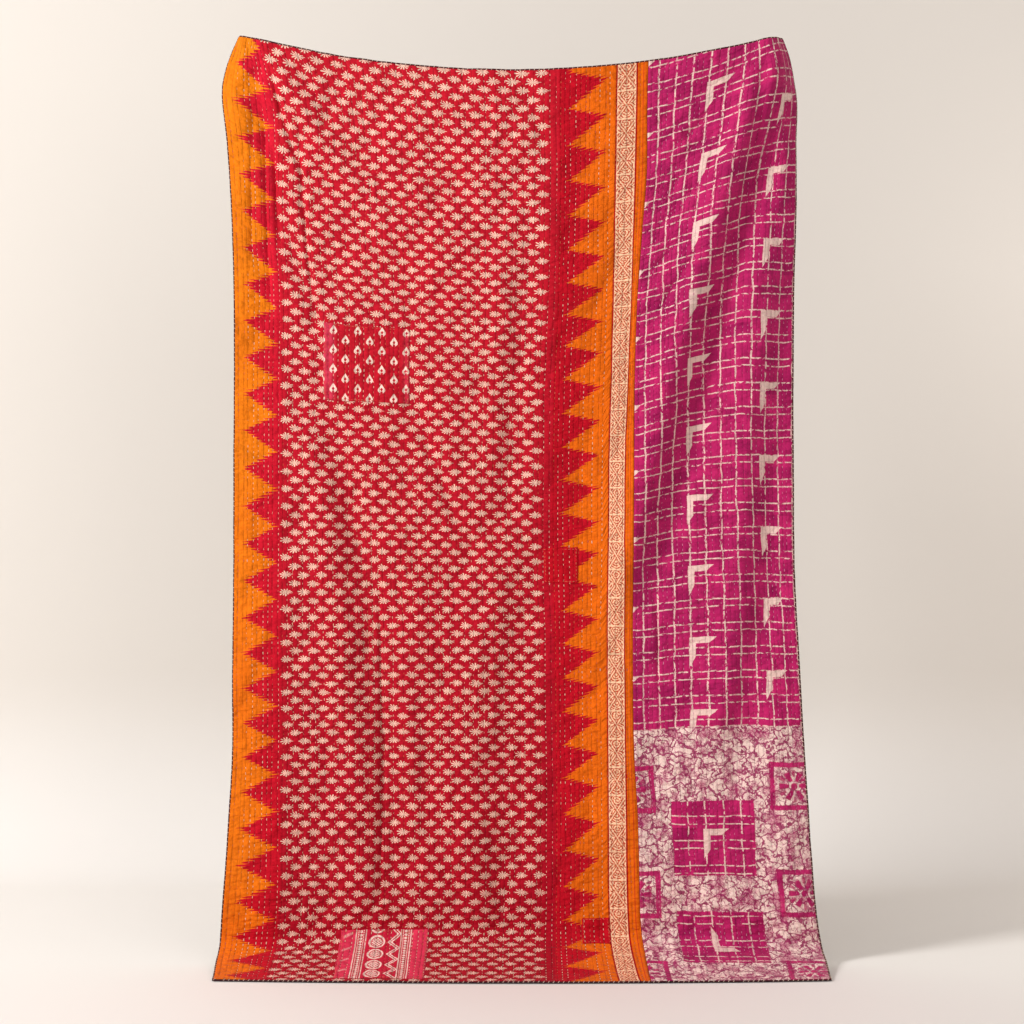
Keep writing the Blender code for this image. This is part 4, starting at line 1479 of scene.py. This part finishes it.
def stitch_tree():
    """Geometry nodes that lay one stitch at each step along the guide lines."""
    tree = bpy.data.node_groups.new("running_stitches", "GeometryNodeTree")
    for name, kind, default in THREAD_INPUTS:
        socket = tree.interface.new_socket(name, in_out="INPUT", socket_type=kind)
        if default is not None:
            socket.default_value = default
    tree.interface.new_socket("Stitches", in_out="OUTPUT", socket_type="NodeSocketGeometry")
    given = add_node(tree, "NodeGroupInput").outputs

    line = add_node(tree, "GeometryNodeMeshToCurve", {"Mesh": given["Guide"]})
    steps = add_node(tree, "GeometryNodeResampleCurve", {
        "Curve": line.outputs["Curve"], "Length": given["Pitch"]}, mode="LENGTH")

    facing = add_node(tree, "GeometryNodeInputNamedAttribute", {"Name": "facing"},
                      data_type="FLOAT_VECTOR")
    upright = add_node(tree, "FunctionNodeAlignRotationToVector", {
        "Vector": facing.outputs["Attribute"]}, axis="Z")
    tangent = add_node(tree, "GeometryNodeInputTangent")
    turned = add_node(tree, "FunctionNodeAlignRotationToVector", {
        "Rotation": upright.outputs["Rotation"], "Vector": tangent.outputs["Tangent"]},
        axis="Y", pivot_axis="Z")

    share = add_node(tree, "ShaderNodeMath", {0: 1.0, 1: given["Missing"]}, operation="SUBTRACT")
    kept = add_node(tree, "FunctionNodeRandomValue", {
        "Probability": share.outputs[0], "Seed": given["Seed"]}, data_type="BOOLEAN")
    low, high = [add_node(tree, "ShaderNodeMath", {0: 1.0, 1: given["Unevenness"]}, operation=way)
                 for way in ("SUBTRACT", "ADD")]
    spread = add_node(tree, "FunctionNodeRandomValue", {
        2: low.outputs[0], 3: high.outputs[0], "Seed": given["Seed"]}, data_type="FLOAT")
    size = add_node(tree, "ShaderNodeVectorMath", {
        0: given["Size"], "Scale": spread.outputs[1]}, operation="SCALE")

    stitch = add_node(tree, "GeometryNodeObjectInfo", {"Object": given["Stitch"]})
    sewn = add_node(tree, "GeometryNodeInstanceOnPoints", {
        "Points": steps.outputs["Curve"], "Selection": kept.outputs[3],
        "Instance": stitch.outputs["Geometry"], "Rotation": turned.outputs["Rotation"],
        "Scale": size.outputs[0]})
    real = add_node(tree, "GeometryNodeRealizeInstances", {"Geometry": sewn.outputs["Instances"]})
    finish = add_node(tree, "GeometryNodeSetMaterial", {
        "Geometry": real.outputs["Geometry"], "Material": given["Thread"]})
    add_node(tree, "NodeGroupOutput", {"Stitches": finish.outputs["Geometry"]})
    return tree


def sew(guide, tree, **settings):
    """Turns guide lines into one plain mesh of stitches."""
    name = guide.name
    modifier = guide.modifiers.new("stitches", "NODES")
    modifier.node_group = tree
    identifiers = {item.name: item.identifier for item in tree.interface.items_tree
                   if item.in_out == "INPUT"}
    for setting, value in settings.items():
        modifier[identifiers[setting]] = value
    graph = bpy.context.evaluated_depsgraph_get()
    mesh = bpy.data.meshes.new_from_object(guide.evaluated_get(graph), depsgraph=graph)
    guide.modifiers.remove(modifier)
    bpy.data.objects.remove(guide, do_unlink=True)
    mesh.name = name
    mesh.shade_smooth()
    return add_piece(name, mesh)


def stitching_lines(low, high, seed):
    """Runs down the cloth between two flat places, one for each line of stitching."""
    chance = np.random.default_rng(seed)
    runs = []
    for line in QUILTING[(QUILTING > low + LINE_CLEAR) & (QUILTING < high - LINE_CLEAR)]:
        start = LINE_INSET + chance.uniform(0.0, STITCH_PITCH)
        down = np.arange(start, FLAT_LENGTH - LINE_INSET, LINE_STEP)
        level = np.full_like(down, line)
        for _ in range(WANDER_ROUNDS):
            level = line - wander(level, down)
        runs.append(np.stack((level, down), axis=-1))
    return runs


def patch_run(left, right, top, bottom):
    """The stitches that hold a patch down, just inside its edge."""
    low, high = np.array((left, top)) + PATCH_INSET, np.array((right, bottom)) - PATCH_INSET
    corners = (low, np.array((high[0], low[1])), high, np.array((low[0], high[1])))
    run = []
    for start, end in zip(corners, corners[1:] + corners[:1]):
        count = int(math.dist(start, end) / PATCH_RUN_STEP) + 1
        run += [start + (end - start) * k / count for k in range(count)]
    return run


def all_stitching():
    """Every thread of the quilt, by its piece's name."""
    cotton = thread("off_white_thread", OFF_WHITE)
    edging = thread("edging_thread", EDGING)
    rose = thread("faded_red_thread", FADED_RED)
    pink = thread("faded_pink_thread", FADED_PINK)
    tree = stitch_tree()
    running, whip = stitch_shape(), whip_shape()

    def on_top(across, down):
        return patched_height(across, down) - THREAD_SINK

    def on_back(across, down):
        return back_height(across, down) + THREAD_SINK

    def on_hem(across, down):
        return np.full_like(across, HEM_RISE)

    sari = stitching_lines(EDGE, SEAM_FLAT, 61)
    batik = stitching_lines(SEAM_FLAT, FLAT_WIDTH, 62)
    is_pale = np.random.default_rng(63).uniform(0.0, 1.0, len(sari)) < PALE_LINES
    pale = [run for run, here in zip(sari, is_pale) if here]
    faded = [run for run, here in zip(sari, is_pale) if not here]
    patches = [patch_run(*row[1:]) for row in patch_places()]
    path = hem_path()
    pieces = {}
    for seed, (name, runs, height, stuff, pitch) in enumerate((
            ("sari_stitches", pale, on_top, cotton, STITCH_PITCH),
            ("sari_rose_stitches", faded, on_top, rose, STITCH_PITCH),
            ("patch_stitches", patches, on_top, rose, PATCH_PITCH),
            ("batik_stitches", batik, on_top, pink, STITCH_PITCH),
            ("back_stitches_left", sari, on_back, cotton, BACK_PITCH),
            ("back_stitches_right", batik, on_back, cotton, BACK_PITCH)), 1):
        guide = guide_lines(name, runs, height, -1.0 if height is on_back else 1.0)
        pieces[name] = sew(guide, tree, Stitch=running, Thread=stuff, Pitch=pitch, Seed=seed)
    guide = guide_lines("hem_stitches", [np.vstack((path, path[:1]))], on_hem)
    pieces["hem_stitches"] = sew(guide, tree, Stitch=whip, Thread=edging, Pitch=WHIP_PITCH,
                                 Size=(1.0, 1.0, 1.0), Unevenness=0.04, Seed=7)
    for shape in (running, whip):
        bpy.data.objects.remove(shape, do_unlink=True)
    return pieces


# ---- the photograph's setting ----------------------------------------------------
CAMERA_AWAY = 4.0
CAMERA_HEIGHT = 0.976         # above the floor
VIEW_WIDTH = 2.217            # width of what the picture shows at the quilt's plane
WALL_AWAY = 1.25
COVE_RADIUS = 0.45
STAGE_FLOOR = FLOOR - 0.002   # just below the hem
# the wall's paint is darker than the floor's: painted shade where less light reaches the wall
FLOOR_PAINT = ink(239, 234, 229)
SHADED_WALL_PAINT = ink(223, 216, 208)


def stage_paint():
    """Pale paint with painted shade: darker on the wall than on the floor, and clear from behind.
    """
    paint, shader = new_material("pale_paint", {"Roughness": 0.9, "Specular IOR Level": 0.1})
    tree = paint.node_tree
    place = add_node(tree, "ShaderNodeTexCoord").outputs["Object"]
    height = Value(add_node(tree, "ShaderNodeSeparateXYZ", {0: place}).outputs["Z"])
    mix = add_node(tree, "ShaderNodeMix", {0: height.past(STAGE_FLOOR + 0.28, 0.50),
                                           6: FLOOR_PAINT, 7: SHADED_WALL_PAINT}, data_type="RGBA")
    set_inputs(shader, {"Base Color": mix.outputs[2]})
    behind = add_node(tree, "ShaderNodeNewGeometry").outputs["Backfacing"]
    clear = add_node(tree, "ShaderNodeBsdfTransparent").outputs[0]
    one_sided = add_node(tree, "ShaderNodeMixShader", {0: behind, 1: shader.outputs[0], 2: clear})
    set_inputs(tree.nodes["Material Output"], {"Surface": one_sided.outputs[0]})
    return paint


def stage_set():
    """A floor that curves up into a wall."""
    angles = np.linspace(0.0, math.pi / 2, 25)
    bend = [(WALL_AWAY - COVE_RADIUS * (1 - math.sin(a)),
             STAGE_FLOOR + COVE_RADIUS * (1 - math.cos(a))) for a in angles]
    line = [(-7.0, STAGE_FLOOR), (-3.0, STAGE_FLOOR), (-1.0, STAGE_FLOOR)] + bend
    line += [(WALL_AWAY, 1.5), (WALL_AWAY, 5.0)]
    across = (-8.0, -3.0, 3.0, 8.0)
    block = np.arange(len(across) * len(line)).reshape(len(across), len(line))
    mesh = new_mesh("pale_backdrop", [(x, y, z) for x in across for y, z in line],
                    [face[::-1] for face in quads(block)], [stage_paint()])
    backdrop = add_piece("pale_backdrop", mesh)


def lamp(name, place, aim, size, power, colour=(1.0, 1.0, 1.0)):
    """A soft square lamp that faces its aim."""
    light = bpy.data.lights.new(name, "AREA")
    light.shape = "RECTANGLE"
    light.size, light.size_y = size
    light.energy = power
    light.color = colour
    carrier = bpy.data.objects.new(name, light)
    carrier.location = place
    carrier.rotation_euler = (Vector(aim) - Vector(place)).to_track_quat("-Z", "Y").to_euler()
    carrier.visible_camera = False
    bpy.context.scene.collection.objects.link(carrier)


def light_and_camera():
    """Soft studio light from the front left, and the photograph's level view."""
    lamp("key", (-6.3, -3.5, 2.2), (0.1, 0.0, -0.80), (1.8, 2.4), 570.0)
    lamp("fill", (2.8, -4.6, 0.4), (0.3, 0.6, -0.9), (3.0, 3.0), 48.0, (1.0, 0.97, 0.96))
    lamp("top", (0.6, -0.4, 3.0), (0.3, 0.6, -1.0), (3.6, 2.0), 17.0)
    lamp("wall", (2.3, 0.30, -0.8), (1.2, 1.25, -1.1), (0.5, 2.0), 7.0, (1.0, 0.95, 0.91))
    world = bpy.data.worlds.new("soft_room")
    world.use_nodes = True
    world.node_tree.nodes["Background"].inputs["Color"].default_value = (1.0, 0.96, 0.93, 1.0)
    world.node_tree.nodes["Background"].inputs["Strength"].default_value = 0.29
    bpy.context.scene.world = world
    bpy.context.scene.view_settings.view_transform = "Standard"
    camera = bpy.data.cameras.new("camera")
    camera.sensor_width = 36.0
    camera.lens = camera.sensor_width * CAMERA_AWAY / VIEW_WIDTH
    carrier = bpy.data.objects.new("camera", camera)
    carrier.location = (0.0, -CAMERA_AWAY, FLOOR + CAMERA_HEIGHT)
    carrier.rotation_euler = (math.pi / 2, 0.0, 0.0)
    bpy.context.scene.collection.objects.link(carrier)
    bpy.context.scene.camera = carrier


# ---- the quilt -------------------------------------------------------------------
CLOTHS = (
    # solid, material slot, and the pieces that stand for it: the cloth and what is on it
    ("sari_panel", "sari_cloth", ("sari_front", "sari_stitches", "sari_rose_stitches",
                                  "patch_stitches")),
    ("batik_panel", "batik_cloth", ("batik_front", "batik_stitches")),
    ("backing_cloth", "backing_cloth", ("backing", "hem", "hem_stitches", "back_stitches_left",
                                        "back_stitches_right")),
    ("patch_arches", "arch_patch_cloth", ("arch_patch",)),
    ("patch_vines", "vine_patch_cloth", ("vine_patch",)),
    ("patch_border", "plain_patch_cloth", ("border_patch",)),
    ("patch_foot", "plain_patch_cloth", ("foot_patch",)),
)
PATCH_PIECES = {"patch_arches": ("arch_patch", arch_print),
                "patch_vines": ("vine_patch", vine_print),
                "patch_border": ("border_patch", plain_red),
                "patch_foot": ("foot_patch", plain_red)}


def make_quilt():
    """Every piece of the quilt, each on the body and in place of its solid."""
    sari, batik = front_cloths()
    pieces = {"sari_front": sari, "batik_front": batik, "backing": backing(), "hem": hem_roll()}
    for name, left, right, top, bottom in patch_places():
        piece, material = PATCH_PIECES[name]
        pieces[piece] = patch(piece, left, right, top, bottom, material())
        right - left
        bottom - top
    pieces.update(all_stitching())
    stands_for = {name: (node, slot) for node, slot, names in CLOTHS for name in names}
    for name, piece in pieces.items():
        node, slot = stands_for[name]
        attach(piece, "root")
        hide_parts(node)


stage_set()
light_and_camera()
make_quilt()
